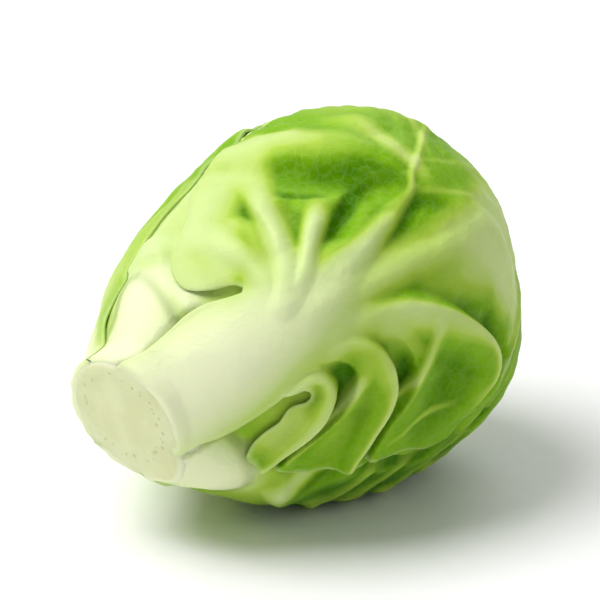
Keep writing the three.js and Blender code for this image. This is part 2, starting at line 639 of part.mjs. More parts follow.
// The origin goes to the middle of the footprint, on the ground.
const bounds = new THREE.Box3();
for (const [, solid] of pieces) {
  const { min, max } = solid.boundingBox();
  bounds.union(new THREE.Box3(new THREE.Vector3(...min), new THREE.Vector3(...max)));
}
const middle = bounds.getCenter(new THREE.Vector3()).setZ(bounds.min.z);

const group = new THREE.Group();
group.name = "brussels_sprout";
for (const [name, solid, material] of pieces) {
  const { vertProperties, triVerts, numProp } = solid.getMesh();
  const positions = [];
  for (let i = 0; i < vertProperties.length; i += numProp) {
    const corner = vertProperties.subarray(i, i + 3);
    positions.push(...corner.map((value, axis) => value - middle.getComponent(axis)));
  }
  const geometry = new THREE.BufferGeometry();
  geometry.setAttribute("position", new THREE.Float32BufferAttribute(positions, 3));
  geometry.setIndex(Array.from(triVerts));
  geometry.computeVertexNormals();
  const mesh = new THREE.Mesh(geometry, material.clone());
  mesh.name = name;
  group.add(mesh);
}

export default group;
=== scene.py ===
import math

import bpy
import numpy as np
from mathutils import Matrix, Vector, noise


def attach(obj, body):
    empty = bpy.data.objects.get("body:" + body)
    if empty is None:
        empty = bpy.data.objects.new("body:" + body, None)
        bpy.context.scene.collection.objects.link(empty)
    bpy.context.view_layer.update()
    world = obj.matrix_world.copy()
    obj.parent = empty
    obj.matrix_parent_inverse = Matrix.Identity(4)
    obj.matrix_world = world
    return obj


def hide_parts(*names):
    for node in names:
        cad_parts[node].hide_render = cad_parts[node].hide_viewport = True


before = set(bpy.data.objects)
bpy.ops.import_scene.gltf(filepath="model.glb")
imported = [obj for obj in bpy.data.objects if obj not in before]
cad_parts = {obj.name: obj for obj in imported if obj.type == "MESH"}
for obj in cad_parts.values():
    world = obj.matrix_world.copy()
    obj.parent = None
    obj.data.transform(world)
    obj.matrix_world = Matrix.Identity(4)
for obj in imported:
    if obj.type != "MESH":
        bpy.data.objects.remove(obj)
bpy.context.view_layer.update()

bl_info = {
    "name": "Brussels sprout",
    "version": (1, 0, 0),
    "blender": (4, 5, 0),
    "location": "View3D > Sidebar > Sprout",
    "description": "Builds a loose Brussels sprout: stem, wrapper, inner and crown leaves, and heart",
    "category": "Object",
}

MM = 0.001
DEGREE = math.pi / 180

# The sprout's own frame, in millimetres: its origin is the middle of the head, Z runs to the cut stem, and X
# to the middle of the front leaf. "Down" is the angle from Z and "round" the angle about it, in degrees.
HEAD_CENTRE = (7.439, 0.521, 18.2)
STEM_DROOP = 7.3
FRONT_ROLL = 54.6
CHART_DOWN = 85.0
CUT_SLOPE = 0.17
STEMWARD = np.array([0.0, 0.0, 1.0])

# Millimetres. FAR stands for "nothing there".
FAR = 99.0
HEART_DEPTH = 3.6
HEART_REACH = 16.0
CUT_MARGIN = 0.05
CORE_END = 27.0
FACE_RISE = 0.11
TUCK = 0.45
BLEND = 0.3
EDGE_DROP = 0.12
# The skin's dents: how high, how fine, and where their noise is read.
DENTS = ((0.15, 0.16, 0), (0.045, 0.5, 5))
# Painted light from the relief: how much the skin is painted pale where it stands out of its neighbours, a
# painted highlight, and how much deep green it loses there and gains where it sinks, a painted shade.
RELIEF_HIGHLIGHT, RELIEF_SHADE = 0.25, 1.2
# Degrees from the floor over which the relief comes in, and how far below the cut its slope does.
FLOOR_CALM = (34, 18)
SLOPE_FADE = (9, 3)
# Degrees down over which the stalks take over from the blades.
STALK_ZONE = (38, 25)
# For blades and for stalks: how far past the margin over it a leaf starts to rise, and how steeply.
CLEARANCE = (1.2, 0.6)
RISE = (0.14, 1.6)
# How much it rises besides, with the square of that, and how far past its margin a leaf covers the next.
CURL = 0.006
COVER_REACH = -40
# Where along its chart, in degrees, a leaf starts to lie sunk beside its stalk, and where it stops.
SUNK_FROM, SUNK_TO = (-44, -60), (-73, -66)

WRAPPERS, ALL_LEAVES = 5, 13
OUTLINE_CORNERS = 300
STROKE_STEPS = 5
COARSENESS, BLUR_PASSES = ((1.0, 60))


# ------------------------------------------------------------------ small helpers

def fade(value, start, end):
    """0 at start and 1 at end, in either order."""
    t = np.clip((value - start) / (end - start), 0.0, 1.0)
    return t * t * (3 - 2 * t)


def soft_min(a, b, width):
    """The lesser of two, rounded off where they cross."""
    near = np.maximum(width - np.abs(a - b), 0.0) / width
    return np.minimum(a, b) - near * near * width * 0.25


def vary(seed, i):
    """A steady number between -1 and 1 that looks unrelated to the next."""
    wave = math.sin(seed * 12.9898 + i * 78.233) * 43758.5453
    return 2 * (wave - math.floor(wave)) - 1


def direction(down, round_):
    down, round_ = np.radians(down), np.radians(round_)
    wide = np.sin(down)
    return np.stack([wide * np.cos(round_), wide * np.sin(round_), np.cos(down) + 0 * round_], -1)


def angle_from(axis, d):
    """Degrees between an axis and directions."""
    return np.degrees(np.arccos(np.clip(d @ axis, -1, 1)))


def turning():
    """How the part's frame lies to the sprout's own."""
    droop, roll = STEM_DROOP * DEGREE, FRONT_ROLL * DEGREE
    upright = Vector((-math.sin(droop), 0, math.cos(droop)))
    sideways = Vector((0, 1, 0))
    front = upright * math.cos(roll) - sideways * math.sin(roll)
    flank = upright * math.sin(roll) + sideways * math.cos(roll)
    stemward = Vector((-math.cos(droop), 0, -math.sin(droop)))
    return Matrix((front, flank, stemward)).transposed()


TURN = turning()
FLOORWARD = np.array(TURN.inverted() @ Vector((0, 0, -1)))


def to_part(points):
    """Points of the sprout's own frame, in mm, as points of the part's, in metres."""
    return (points @ np.array(TURN).T + np.array(HEAD_CENTRE)) * MM


def off_floor(d):
    """0 in the flat that the sprout rests on and 1 away from it: how much relief the skin has there."""
    return 1 - fade(angle_from(FLOORWARD, d), *FLOOR_CALM)


def smooth_line(points):
    """An open line of rows of numbers, rounded through its points."""
    p = np.array(points, float)
    p = np.vstack([2 * p[0] - p[1], p, 2 * p[-1] - p[-2]])
    rows = []
    for i in range(1, len(p) - 2):
        for t in np.linspace(0, 1, STROKE_STEPS, endpoint=False):
            rows.append(0.5 * (2 * p[i] + (p[i + 1] - p[i - 1]) * t
                               + (2 * p[i - 1] - 5 * p[i] + 4 * p[i + 1] - p[i + 2]) * t ** 2
                               + (3 * p[i] - p[i - 1] - 3 * p[i + 1] + p[i + 2]) * t ** 3))
    return np.array(rows + [p[-2]])


def smooth_loop(points):
    """A closed polygon with its corners evenly spaced on a curve through the points."""
    p = np.array(points, float)
    closed = np.vstack([p[-1:], p, p[:2]])
    dense = []
    for i in range(1, len(closed) - 2):
        a, b, c, d = closed[i - 1:i + 3]
        ta, tb, tc = (max(1e-6, np.linalg.norm(q)) ** 0.5 for q in (b - a, c - b, d - c))
        m1 = (c - b) + tb * ((b - a) / ta - (c - a) / (ta + tb))
        m2 = (c - b) + tb * ((d - c) / tc - (d - b) / (tb + tc))
        for t in np.linspace(0, 1, 12, endpoint=False):
            dense.append((2 * t ** 3 - 3 * t ** 2 + 1) * b + (t ** 3 - 2 * t ** 2 + t) * m1
                         + (3 * t ** 2 - 2 * t ** 3) * c + (t ** 3 - t ** 2) * m2)
    around = np.vstack([dense, dense[:1]])
    run = np.concatenate([[0], np.cumsum(np.linalg.norm(np.diff(around, axis=0), axis=1))])
    at = np.linspace(0, run[-1], OUTLINE_CORNERS, endpoint=False)
    return np.stack([np.interp(at, run, around[:, k]) for k in (0, 1)], -1)


# ------------------------------------------------------------------ strokes on a leaf's chart

def stroke(points, line, power=2.0, edge=2.0, sideways=False):
    """How high a stroke stands at chart points or, sideways, how far and where it moves them to its right.
    A row of the line is x, y, height and width, or x, y, height, width on its left and width on its right.
    A power over 2 makes its top flatter, an edge under 2 its sides steeper."""
    rows = smooth_line([row if len(row) == 5 else (*row, row[3]) for row in line])
    result = np.zeros(points.shape if sideways else len(points))
    reach = rows[:, 3:].max()
    low, high = rows[:, :2].min(0) - reach, rows[:, :2].max(0) + reach
    near = np.nonzero(((points > low) & (points < high)).all(1))[0]
    if not len(near):
        return result
    run = rows[1:, :2] - rows[:-1, :2]
    gap = points[near][:, None] - rows[:-1, :2]
    t = np.clip((gap * run).sum(-1) / (run * run).sum(-1), 0, 1)
    distance = np.linalg.norm(gap - t[..., None] * run, axis=-1)
    best = distance.argmin(1)
    pick = (np.arange(len(near)), best)
    t, gap, run = t[pick][:, None], gap[pick], run[best]
    right = gap[:, 0] * run[:, 1] - gap[:, 1] * run[:, 0] > 0
    row = rows[best] * (1 - t) + rows[best + 1] * t
    width = np.where(right, row[:, 4], row[:, 3])
    across = np.minimum(distance[pick] / np.maximum(width, 1e-6), 1.0)
    height = row[:, 2] * (1 - across ** power) ** edge
    if sideways:
        heading = np.stack([run[:, 1], -run[:, 0]], -1)
        height = heading / np.linalg.norm(heading, axis=1)[:, None] * height[:, None]
    result[near] = height
    return result


def strokes(*lines, **shape):
    return [dict(line=line, **shape) for line in lines]


def added(points, lines):
    return sum((stroke(points, **line) for line in lines), np.zeros(len(points)))


def highest(points, lines):
    return np.max([np.zeros(len(points))] + [stroke(points, **line) for line in lines], axis=0)


def blended(points, lines):
    """Shares of a colour laid over each other: never more than 1."""
    rest = np.ones(len(points))
    for line in lines:
        rest = rest * (1 - np.clip(stroke(points, **line), 0, 1))
    return 1 - rest


def to_polygon(points, polygon):
    """Signed distance to a polygon, positive inside, and the nearest point on it."""
    edge, foot = np.empty(len(points)), np.empty((len(points), 2))
    a, b = polygon, np.roll(polygon, -1, 0)
    run = b - a
    batch = 4000
    for start in range(0, len(points), batch):
        p = points[start:start + batch]
        gap = p[:, None] - a[None]
        t = np.clip((gap * run).sum(-1) / (run * run).sum(-1), 0, 1)
        near = a + t[..., None] * run
        squared = ((p[:, None] - near) ** 2).sum(-1)
        best = squared.argmin(1)
        pick = (np.arange(len(p)), best)
        above = (a[:, 1] > p[:, 1:]) != (b[:, 1] > p[:, 1:])
        with np.errstate(divide="ignore", invalid="ignore"):
            crossing = a[:, 0] + (p[:, 1:] - a[:, 1]) / run[:, 1] * run[:, 0]
        inside = (above & (p[:, :1] < crossing)).sum(1) % 2 == 1
        edge[start:start + batch] = np.sqrt(squared[pick]) * np.where(inside, 1, -1)
        foot[start:start + batch] = near[pick]
    return edge, foot


# ------------------------------------------------------------------ the head's outline

class Head:
    """How far the head reaches from its middle, by direction, in millimetres."""

    TIP = 32.0
    DOWN = np.arange(0, 181.0)
    # Each swell and hollow: its middle (down, round), how wide it is in degrees, and its height.
    SWELLS = ((62, 104, 34, -1.1), (24, -104, 26, 1.3), (136, -35, 34, -0.9), (118, 60, 24, 0.2),
              (74, -104, 32, 0.7))

    def __init__(self, sizes):
        self.floor, self.collar = sizes.floor_distance / MM, sizes.collar_radius / MM
        self.radius, self.crown = sizes.head_radius / MM, sizes.crown_reach / MM
        low, high = np.zeros(len(self.DOWN)), np.full(len(self.DOWN), 40.0)
        for _ in range(40):
            mid = (low + high) / 2
            along = mid * np.cos(np.radians(self.DOWN))
            inside = (mid * np.sin(np.radians(self.DOWN)) < self.across(along)) & (along < self.TIP)
            low, high = np.where(inside, mid, low), np.where(inside, high, mid)
        self.table = low

    def across(self, along):
        crownward = self.radius * np.sqrt(np.clip(1 - (along / self.crown) ** 2, 0, 1))
        stemward = self.radius * np.clip(1 - (along / self.TIP) ** 2, 0, 1) ** 0.6
        return np.where(along < 0, crownward, np.maximum(stemward, self.collar))

    def reach(self, d):
        reach = np.interp(angle_from(STEMWARD, d), self.DOWN, self.table)
        for down, round_, spread, by in self.SWELLS:
            reach = reach + by * fade(angle_from(direction(down, round_), d), spread, 0)
        return reach


# ------------------------------------------------------------------ leaves

class Leaf:
    """One leaf: its outline and the strokes that shape and colour it, on a chart in degrees with x across it
    and y to its tip. Lifts and hollows bend the blade, cuts are steep-sided valleys, pushes lean a fold over
    what is beside it; pales, ivories, deeps and crease shades are shares of a colour. The deeps are deep
    green together with painted shade in hollows and valleys, and the crease shades are painted shade in the
    creases."""

    COLOURS = ("pales", "ivories", "deeps", "creases")

    def __init__(self, name, round_, level, cell, outline, stalk, midrib, sunk, cuts=(), pushes=(), **lines):
        self.name, self.level, self.cell, self.sunk = name, level, cell, sunk
        self.stalk, self.midrib, self.cuts, self.pushes, self.lines = stalk, midrib, cuts, pushes, lines
        self.polygon = smooth_loop(outline)
        self.middle = direction(CHART_DOWN, round_)
        self.across = np.array([-math.sin(round_ * DEGREE), math.cos(round_ * DEGREE), 0])
        self.along = np.cross(self.across, self.middle)

    def chart(self, d):
        p = np.stack([d @ self.across, d @ self.along], -1)
        return p * (angle_from(self.middle, d) / np.maximum(np.linalg.norm(p, axis=1), 1e-9))[:, None]

    def directions(self, p):
        away = np.maximum(np.linalg.norm(p, axis=1), 1e-9)
        turn = np.radians(away)[:, None]
        heading = (p[:, :1] * self.across + p[:, 1:] * self.along) / away[:, None]
        return np.cos(turn) * self.middle + np.sin(turn) * heading

    def push(self, p):
        return sum((stroke(p, line, sideways=True) for line in self.pushes), np.zeros_like(p))

    def free(self, head, d, blade):
        """Where the leaf runs with nothing over it, how thick it is, and how far its margin is."""
        p = self.chart(d)
        y = p[:, 1]
        edge = to_polygon(p, self.polygon)[0]
        stalk = stroke(p, self.stalk, edge=0.8)
        bend = added(p, self.lines["lifts"]) - added(p, self.lines["hollows"]) - highest(p, self.cuts)
        rib = stroke(p, self.midrib) + highest(p, self.lines["ribs"])
        share = np.minimum(1, stalk / max(0.1, self.stalk[1][2] * 0.75))
        sunk = self.sunk * fade(y, *SUNK_FROM) * fade(y, *SUNK_TO) * (1 - share)
        outer = head.reach(d) - self.level + off_floor(d) * bend + rib - sunk
        thick = blade * (0.6 + 0.4 * fade(edge, 0, 6)) + np.maximum(stalk, rib)
        return outer, thick, edge

    def colours(self, p):
        """The shares of pale green, ivory, deep green and crease."""
        return [blended(p, self.lines[key]) for key in self.COLOURS]


# The front leaf: the corners of its outline, and its strokes, whose rows are as `stroke` says.
FRONT_OUTLINE = [
    (9, -79), (11, -71), (13.5, -65), (13.5, -60), (11.5, -55), (10.5, -51), (13.5, -52.5), (16, -57.5),
    (20, -61.5), (26, -62.5), (32, -61), (38, -56), (42.5, -51), (49, -47), (56, -41), (63, -33), (69, -22),
    (71.5, -12), (72, -2), (71, 10), (67, 24), (59, 38), (48, 50), (35, 59), (20, 64), (5, 63.5), (-9, 58),
    (-21, 50.5), (-31, 42), (-40, 33), (-47, 25), (-54, 16.5), (-60, 12.5), (-64.5, 8.5), (-65.5, 2.5),
    (-66.5, -3), (-70.5, -8), (-71.5, -13), (-69.5, -20), (-65, -27.5), (-62.2, -33), (-60.5, -39),
    (-56.3, -43.5), (-55.8, -47.5), (-53.2, -52.6), (-50, -55.5), (-47.5, -60.5), (-43.7, -64),
    (-39, -66.8), (-32, -69), (-28.3, -69.4), (-26, -67.4), (-25, -63.5), (-25, -60), (-23.4, -57.8),
    (-23, -55.2), (-24, -53.2), (-24, -51.4), (-22.3, -50.5), (-20.6, -51.7), (-20.3, -53.7),
    (-19.2, -55.2), (-19.6, -58), (-19.8, -62), (-19.6, -67), (-18.4, -70.5), (-16.8, -74), (-16, -79),
    (-8, -83),
]
FRONT_STALK = [
    (-4.5, -84, 4.4, 16), (-4.5, -70, 4, 15.8), (-3.8, -61, 3.2, 15.5), (-4, -54, 2.2, 15),
    (-4, -48, 1.2, 14), (-3, -42, 0.5, 12), (-2, -36, 0.05, 9),
]
FRONT_MIDRIB = [
    (-4, -64, 0.1, 16, 15), (-4, -56, 0.6, 18, 19), (-4, -49, 1, 18, 20), (-3, -42, 1.1, 16, 20),
    (-1, -36, 1, 12, 18), (1.5, -30, 0.85, 8, 13), (4, -22, 0.7, 5.5, 8), (6.8, -12, 0.5, 4.6, 5.5),
    (9.5, -3, 0.25, 3.6, 4), (12.1, 3.9, 0.2, 2), (17.4, 10.1, 0.2, 1.8), (24, 22, 0.17, 1.7),
    (31, 36, 0.1, 1.8), (35, 50, 0, 2),
]
FRONT_RIBS = strokes(
    [(2, -44, 0.6, 6), (11, -39.7, 0.8, 4.8), (21.5, -37.2, 0.75, 4.4), (30.4, -35.4, 0.55, 4.6),
     (39.5, -31.9, 0.35, 5.5), (49, -27, 0.15, 7), (58, -22, 0, 8)],
    [(4, -46, 0.2, 4), (9, -45.4, 0.4, 4), (16, -46, 0.45, 4.2), (22, -47.4, 0.4, 4.8),
     (28, -50, 0.25, 5.4), (33, -53.5, 0.1, 5.5)],
    [(12, -43, 0.1, 2.6), (17, -42, 0.2, 2.8), (24.7, -41.6, 0.2, 3), (29.3, -43.5, 0.1, 3)],
    [(3, -42, 0.5, 5), (6.3, -37.6, 0.7, 3.6), (10, -34.4, 0.8, 3.4), (13.7, -31.2, 0.85, 3.8),
     (18, -27, 0.75, 4.4), (21.5, -23.6, 0.4, 4.6), (24.5, -20.5, 0, 4.2)],
    [(-4, -40, 0.3, 7), (-6, -28, 0.5, 6.5), (-7, -18, 0.55, 6), (-7, -6, 0.5, 5.5), (-8, 8, 0.35, 5),
     (-6, 22, 0.1, 4.5), (-4, 32, 0, 4)])
FRONT_LIFTS = strokes(
    [(-12, -36, 0.2, 6, 4), (-14, -26, 0.7, 8, 5), (-17.3, -16.3, 1.2, 10, 5.5), (-22.4, -9.2, 1.5, 12, 5),
     (-28.4, -3.5, 1.6, 13, 4.5), (-35.6, 2.8, 1.6, 13, 4), (-41.5, 7.2, 1.5, 12, 3.6),
     (-47, 8.8, 1.3, 11, 3.6), (-52.6, 7.5, 1, 10, 3.6), (-58, 3, 0.7, 8, 3.6), (-62, -3, 0.4, 7, 3)],
    [(-15.9, -40.4, 0.2, 3, 2.2), (-17.4, -35.2, 0.8, 5, 2.4), (-21.7, -31.9, 1.2, 6.5, 2.4),
     (-27.9, -30.6, 1.4, 7.5, 2.3), (-34.2, -31.2, 1.45, 8, 2.2), (-38.6, -33.5, 1.4, 8, 2.2),
     (-42.7, -37.5, 1.25, 7.5, 2.1), (-46, -40.5, 1.1, 7, 2), (-50, -44.5, 0.9, 6, 2),
     (-55, -49, 0.6, 5, 2)],
    [(-19.5, -55, 0.4, 1.8, 1.6), (-18.8, -51.5, 0.6, 1.9, 1.7), (-19, -47.7, 0.8, 2.2, 1.8),
     (-21.7, -45.9, 1, 3, 1.8), (-25.5, -46.5, 1.2, 4, 1.8), (-28.5, -48.9, 1.3, 5, 1.8),
     (-31, -52.3, 1.3, 5.5, 1.8), (-32.8, -57, 1.2, 5.5, 1.8), (-34, -62.7, 1, 5.5, 1.8),
     (-35.3, -67.5, 0.8, 5, 1.8)],
    [(-25, -11, 0.1, 2, 3), (-28.6, -13.2, 0.4, 2.2, 4.5), (-33.2, -17, 0.75, 2.4, 6),
     (-37.1, -21.3, 1, 2.4, 7), (-40.2, -26.6, 1.05, 2.2, 7), (-43.3, -32, 0.9, 1.8, 6),
     (-47, -37.4, 0.6, 1.5, 4.5), (-51, -42, 0.25, 1.3, 3)],
    [(-24.5, -36.5, 0.1, 1.6, 3.5), (-27.5, -37.6, 0.5, 1.8, 4), (-29.8, -41.2, 0.85, 2, 4.5),
     (-31.8, -46, 0.95, 1.9, 4.5), (-33.3, -50.6, 0.9, 1.7, 4.5), (-35.3, -56, 0.7, 1.4, 4),
     (-37.6, -62.5, 0.45, 1.2, 3.2)],
    [(-56, -6, 0, 2), (-55.5, -14, 0.16, 2), (-54.8, -22, 0.2, 2), (-55, -29, 0.16, 1.8),
     (-56, -36, 0, 1.6)],
    [(60, -24, 0.4, 12), (50, -14, 0.9, 13), (40, -4, 0.8, 12), (28, 6, 0.4, 10)],
    [(-1, 19, 0.5, 9), (-12, 25, 0.6, 9), (-22, 28, 0.4, 8)],
    [(44, 12, 0.5, 10), (44, 26, 0.6, 11), (34, 38, 0.4, 9)],
    [(18, -58, 0.4, 6), (30, -57, 0.6, 7), (42, -48, 0.5, 7), (56, -39, 0.4, 7), (66, -26, 0.4, 7)],
    [(-30, 45, 0.3, 5), (-46, 27, 0.5, 4.5), (-57, 14, 0.5, 4), (-63, 7, 0.3, 4)],
    [(-58, -41, 0.3, 3.5), (-54, -49, 0.4, 3.5), (-48, -58, 0.4, 3.5), (-40, -64, 0.3, 3.5)])
FRONT_HOLLOWS = strokes(
    [(-24, -46, 0.2, 8), (-40, -40, 0.6, 22), (-50, -18, 0.6, 22), (-40, 2, 0.5, 14)],
    [(-42, -12, 0.45, 11), (-50, -16, 0.6, 12), (-57, -22, 0.4, 9)],
    [(-37, -42, 0.35, 4.5), (-43, -50, 0.35, 5), (-46, -57, 0.2, 4)],
    [(-24, 1, 0.3, 4), (-30, 7.4, 0.6, 5.5), (-36, 11, 0.8, 6), (-43, 14, 0.9, 5.5), (-50, 16, 0.5, 4)],
    [(52, -30, 0.3, 7), (42, -27, 0.8, 8.5), (30, -16, 1, 8.5), (21, -8, 0.7, 7)],
    [(12, -24, 0.3, 4.5), (17, -14, 0.6, 5.5), (17, -4, 0.5, 6)],
    [(1, -16, 0.15, 4.5), (3, -2, 0.4, 6.5), (6, 8, 0.3, 7)],
    [(15, -35.5, 0.2, 3), (24, -31, 0.4, 4), (29, -28, 0.2, 3)],
    [(18, -40, 0.1, 2.4), (25, -38.8, 0.25, 2.4), (30, -39.5, 0.35, 2.8), (35, -39.8, 0.4, 3.4),
     (41, -38.5, 0.2, 3)],
    [(-45, -60.5, 0.35, 2.2), (-42.5, -62.5, 0.3, 2)])
FRONT_CUTS = strokes(
    [(-20, -29.6, 0.1, 1, 3), (-24, -28.7, 0.5, 1.2, 5), (-29.5, -28.2, 1.2, 1.2, 7),
     (-35.8, -28.9, 1.7, 1.2, 6.8), (-41.5, -31.2, 1.7, 1.2, 5), (-45.8, -35, 1.45, 1.2, 3.4),
     (-51, -39.5, 1.1, 1.1, 2.2), (-56.1, -43.6, 0.6, 1, 1.3)],
    [(-18.2, -44.8, 0.3, 1, 1.6), (-20.5, -43.8, 0.8, 1, 3.6), (-24, -43.4, 1.3, 1.1, 5.2),
     (-28, -45, 1.5, 1.1, 4.6), (-31.4, -48.2, 1.4, 1.1, 2.8), (-33.6, -52.6, 1.25, 1.1, 2),
     (-35, -57.6, 1.05, 1, 1.6), (-36.4, -63.3, 0.8, 1, 1.3), (-37.5, -67.5, 0.4, 1, 1.1)],
    power=4, edge=1)
FRONT_CUTS += strokes(
    [(37, -33, 0.1, 2, 5), (32, -29.5, 0.35, 2, 7), (27, -24.5, 0.45, 2, 7), (24, -19, 0.2, 2, 5)],
    [(9, -32, 0.1, 3, 1.4), (12.5, -26, 0.4, 5, 1.6), (17, -19, 0.5, 6, 1.8), (21, -14, 0.2, 6, 2)],
    [(1, -18, 0.1, 4, 1.6), (4.5, -8, 0.25, 5, 1.8), (8.5, 0, 0.35, 5, 1.8), (11, 6, 0.15, 5, 2)],
    power=1.5, edge=1.5)
FRONT_PUSHES = [
    [(-20, -33, 0.2, 3), (-24, -31, 0.9, 3.2), (-29, -30.4, 1.3, 3.4), (-34.2, -31.2, 1.5, 3.6),
     (-38.6, -33.5, 1.5, 3.6), (-42.7, -37.5, 1.3, 3.4), (-46.5, -41, 0.9, 3), (-51, -45.5, 0.4, 2.6)],
    [(-20.5, -46.3, 0.2, 2.4), (-23, -45.8, 0.7, 2.8), (-25.5, -46.5, 1, 3), (-28.5, -48.9, 1.2, 3.2),
     (-31, -52.3, 1.2, 3.2), (-32.8, -57, 1, 3), (-34, -62.7, 0.6, 2.8), (-35, -66, 0.3, 2.5)],
    [(-20, -12, 0.1, 4), (-28.4, -3.5, 0.9, 4.5), (-35.6, 2.8, 1.3, 4.5), (-41.5, 7.2, 1.3, 4.5),
     (-47, 8.8, 1.1, 4), (-53, 7.5, 0.5, 4)],
]
FRONT_PALES = strokes(
    [(-4, -86, 1, 26), (-4, -62, 1, 25), (-4, -52, 1, 22), (-4, -42, 0.98, 17, 21), (-4, -34, 0.85, 13, 18),
     (-4, -26, 0.72, 9, 15), (-5, -15, 0.62, 8, 10), (-6, 0, 0.55, 8, 9), (-6, 15, 0.5, 10, 11),
     (-5, 30, 0.5, 13), (-5, 50, 0.5, 18)],
    [(0, -36, 0.8, 6), (3, -24, 0.9, 5), (6.5, -13, 0.7, 4.4), (9.5, -4, 0.35, 3.4), (12, 4, 0.42, 2),
     (17.4, 10, 0.45, 2), (24, 22, 0.45, 2.2), (31, 36, 0.4, 2.6), (35, 50, 0.25, 3)],
    [(3, -42, 0.8, 5), (6.3, -37.6, 0.9, 3.8), (10, -34.4, 0.95, 3.4), (13.7, -31.2, 0.95, 3.8),
     (18, -27, 0.85, 4.2), (21.5, -23.6, 0.45, 4.2), (24.5, -20.5, 0, 4)],
    [(2, -44, 0.8, 7), (11, -39.7, 0.95, 4.8), (21.5, -37.2, 0.9, 4.4), (30.4, -35.4, 0.8, 4.6),
     (39.5, -31.9, 0.65, 6), (50, -27, 0.55, 8), (62, -18, 0.4, 10)],
    [(12, -43, 0.3, 3), (17, -42, 0.4, 3), (24.7, -41.6, 0.4, 3), (29.3, -43.5, 0.4, 3.5)],
    [(5, -50, 0.7, 6), (12, -46.5, 0.7, 4.5), (22, -47.6, 0.7, 5), (29, -50.6, 0.6, 6), (36, -54, 0.4, 7)],
    [(-12, -34, 0.5, 8, 5), (-14.5, -24, 0.7, 10, 4), (-17.3, -16.3, 0.8, 10, 2.8),
     (-22.4, -9.2, 0.7, 9, 2), (-28.4, -3.5, 0.65, 6, 1.8), (-35.6, 2.8, 0.6, 3.5, 1.7),
     (-41.5, 7.2, 0.6, 2.2, 1.6), (-47, 8.8, 0.6, 2, 1.6), (-53, 7.5, 0.5, 2.2, 1.8),
     (-59, 2, 0.3, 3, 2.5)],
    [(-15.9, -40.4, 0.45, 5, 4), (-17.4, -35.2, 0.35, 6.5, 3.4), (-21.7, -31.9, 0.32, 6.5, 2.6),
     (-27.9, -30.6, 0.34, 5.5, 2.2), (-34.2, -31.2, 0.42, 3.2, 1.8), (-38.6, -33.5, 0.55, 2, 1.6),
     (-42.7, -37.5, 0.6, 1.6, 1.5), (-50, -44.5, 0.6, 1.4, 1.5), (-56, -50, 0.5, 1.4, 1.5)],
    [(-19.5, -55, 0.6, 3), (-19, -47.7, 0.45, 3.2, 3), (-21.7, -45.9, 0.38, 3.6, 2),
     (-25.5, -46.5, 0.4, 3.6, 1.8), (-28.5, -48.9, 0.5, 2.8, 1.7), (-31, -52.3, 0.6, 2.2, 1.5),
     (-32.8, -57, 0.6, 1.8, 1.5), (-35.3, -67.5, 0.5, 1.6, 1.5)],
    [(-22, -52, 0.3, 5), (-26, -55, 0.35, 6), (-29, -62, 0.35, 6)],
    [(-25, -11, 0.3, 3), (-28.6, -13.2, 0.45, 2.4), (-33.2, -17, 0.5, 2), (-37.1, -21.3, 0.5, 1.6),
     (-40.2, -26.6, 0.45, 1.5), (-43.3, -32, 0.4, 1.4), (-51, -42, 0.3, 1.3)],
    [(-20, -26, 0.3, 4), (-25, -22, 0.4, 4), (-30, -19, 0.3, 3)],
    [(-24.5, -36, 0.2, 3), (-27.5, -37.6, 0.5, 3), (-29.8, -41.2, 0.6, 2.6, 1.8),
     (-31.8, -46, 0.6, 2.2, 1.6), (-33.3, -50.6, 0.55, 1.8), (-35.3, -56, 0.5, 1.8),
     (-37.6, -62.5, 0.35, 1.8)],
    [(-56, -8, 0.1, 1.4), (-54.8, -20, 0.4, 1.4), (-56, -35, 0.2, 1.2)],
    # Painted highlight: the lit top of the blister near the tip is painted pale.
    [(60, -22, 0.55, 13), (52, -13, 0.72, 11), (44, -7, 0.5, 9), (36, 2, 0.15, 8)],
    [(50, 8, 0.2, 6), (41.8, 12, 0.45, 6), (29, 12.5, 0.6, 5.5), (18, 13.5, 0.5, 4), (13, 12, 0.1, 3)],
    [(25, 24, 0.15, 2.2), (30, 29.5, 0.32, 2.4), (36, 34, 0.38, 2.6), (44, 37.5, 0.38, 2.8),
     (52, 36, 0.3, 3), (60, 28, 0.1, 3)],
    [(13, 6, 0.2, 1.6), (7, 16, 0.3, 1.6), (1, 30, 0.25, 1.6), (-3, 46, 0.2, 2)],
    [(20, 16, 0.2, 1.5), (16, 28, 0.25, 1.5), (13, 42, 0.2, 1.8), (12, 56, 0.1, 2)],
    [(60, 20, 0.2, 14), (44, 34, 0.3, 12)],
    [(-4, 8, 0.2, 8), (-10, 20, 0.5, 11), (-20, 24, 0.55, 9), (-32, 20, 0.3, 7)],
    [(-2, 30, 0.35, 10), (-18, 36, 0.35, 10)],
    [(18, -60, 0.85, 9), (30, -59, 0.8, 8), (40, -52, 0.75, 9), (50, -43, 0.65, 10), (62, -30, 0.55, 10)],
    [(20, -52, 0.5, 7), (36, -47, 0.7, 8), (48, -36, 0.65, 9)],
    [(17, -53, 0.4, 4), (22, -51, 0.5, 5), (30, -50, 0.4, 5)],
    [(10, 44, 0.3, 14), (-8, 38, 0.4, 13), (-28, 34, 0.45, 10), (-44, 25, 0.45, 7)],
    [(-16, 12, 0.2, 10), (-26, 22, 0.35, 10)],
    [(-28, -64, 0.3, 6), (-28, -56, 0.25, 5)],
    [(-14, -6, 0.25, 7), (-18, 8, 0.45, 10), (-20, 20, 0.6, 11), (-32, 24, 0.45, 10)],
    [(-33, -39, 0.12, 6), (-38, -47, 0.14, 6), (-44, -54, 0.1, 6)],
    [(-22, -29, 0.1, 3), (-28, -27.5, 0.14, 4), (-36, -29, 0.1, 3)],
    [(20, -33, 0.1, 3), (27, -33, 0.25, 3.5), (34, -31, 0.1, 3)],
    edge=1.3)
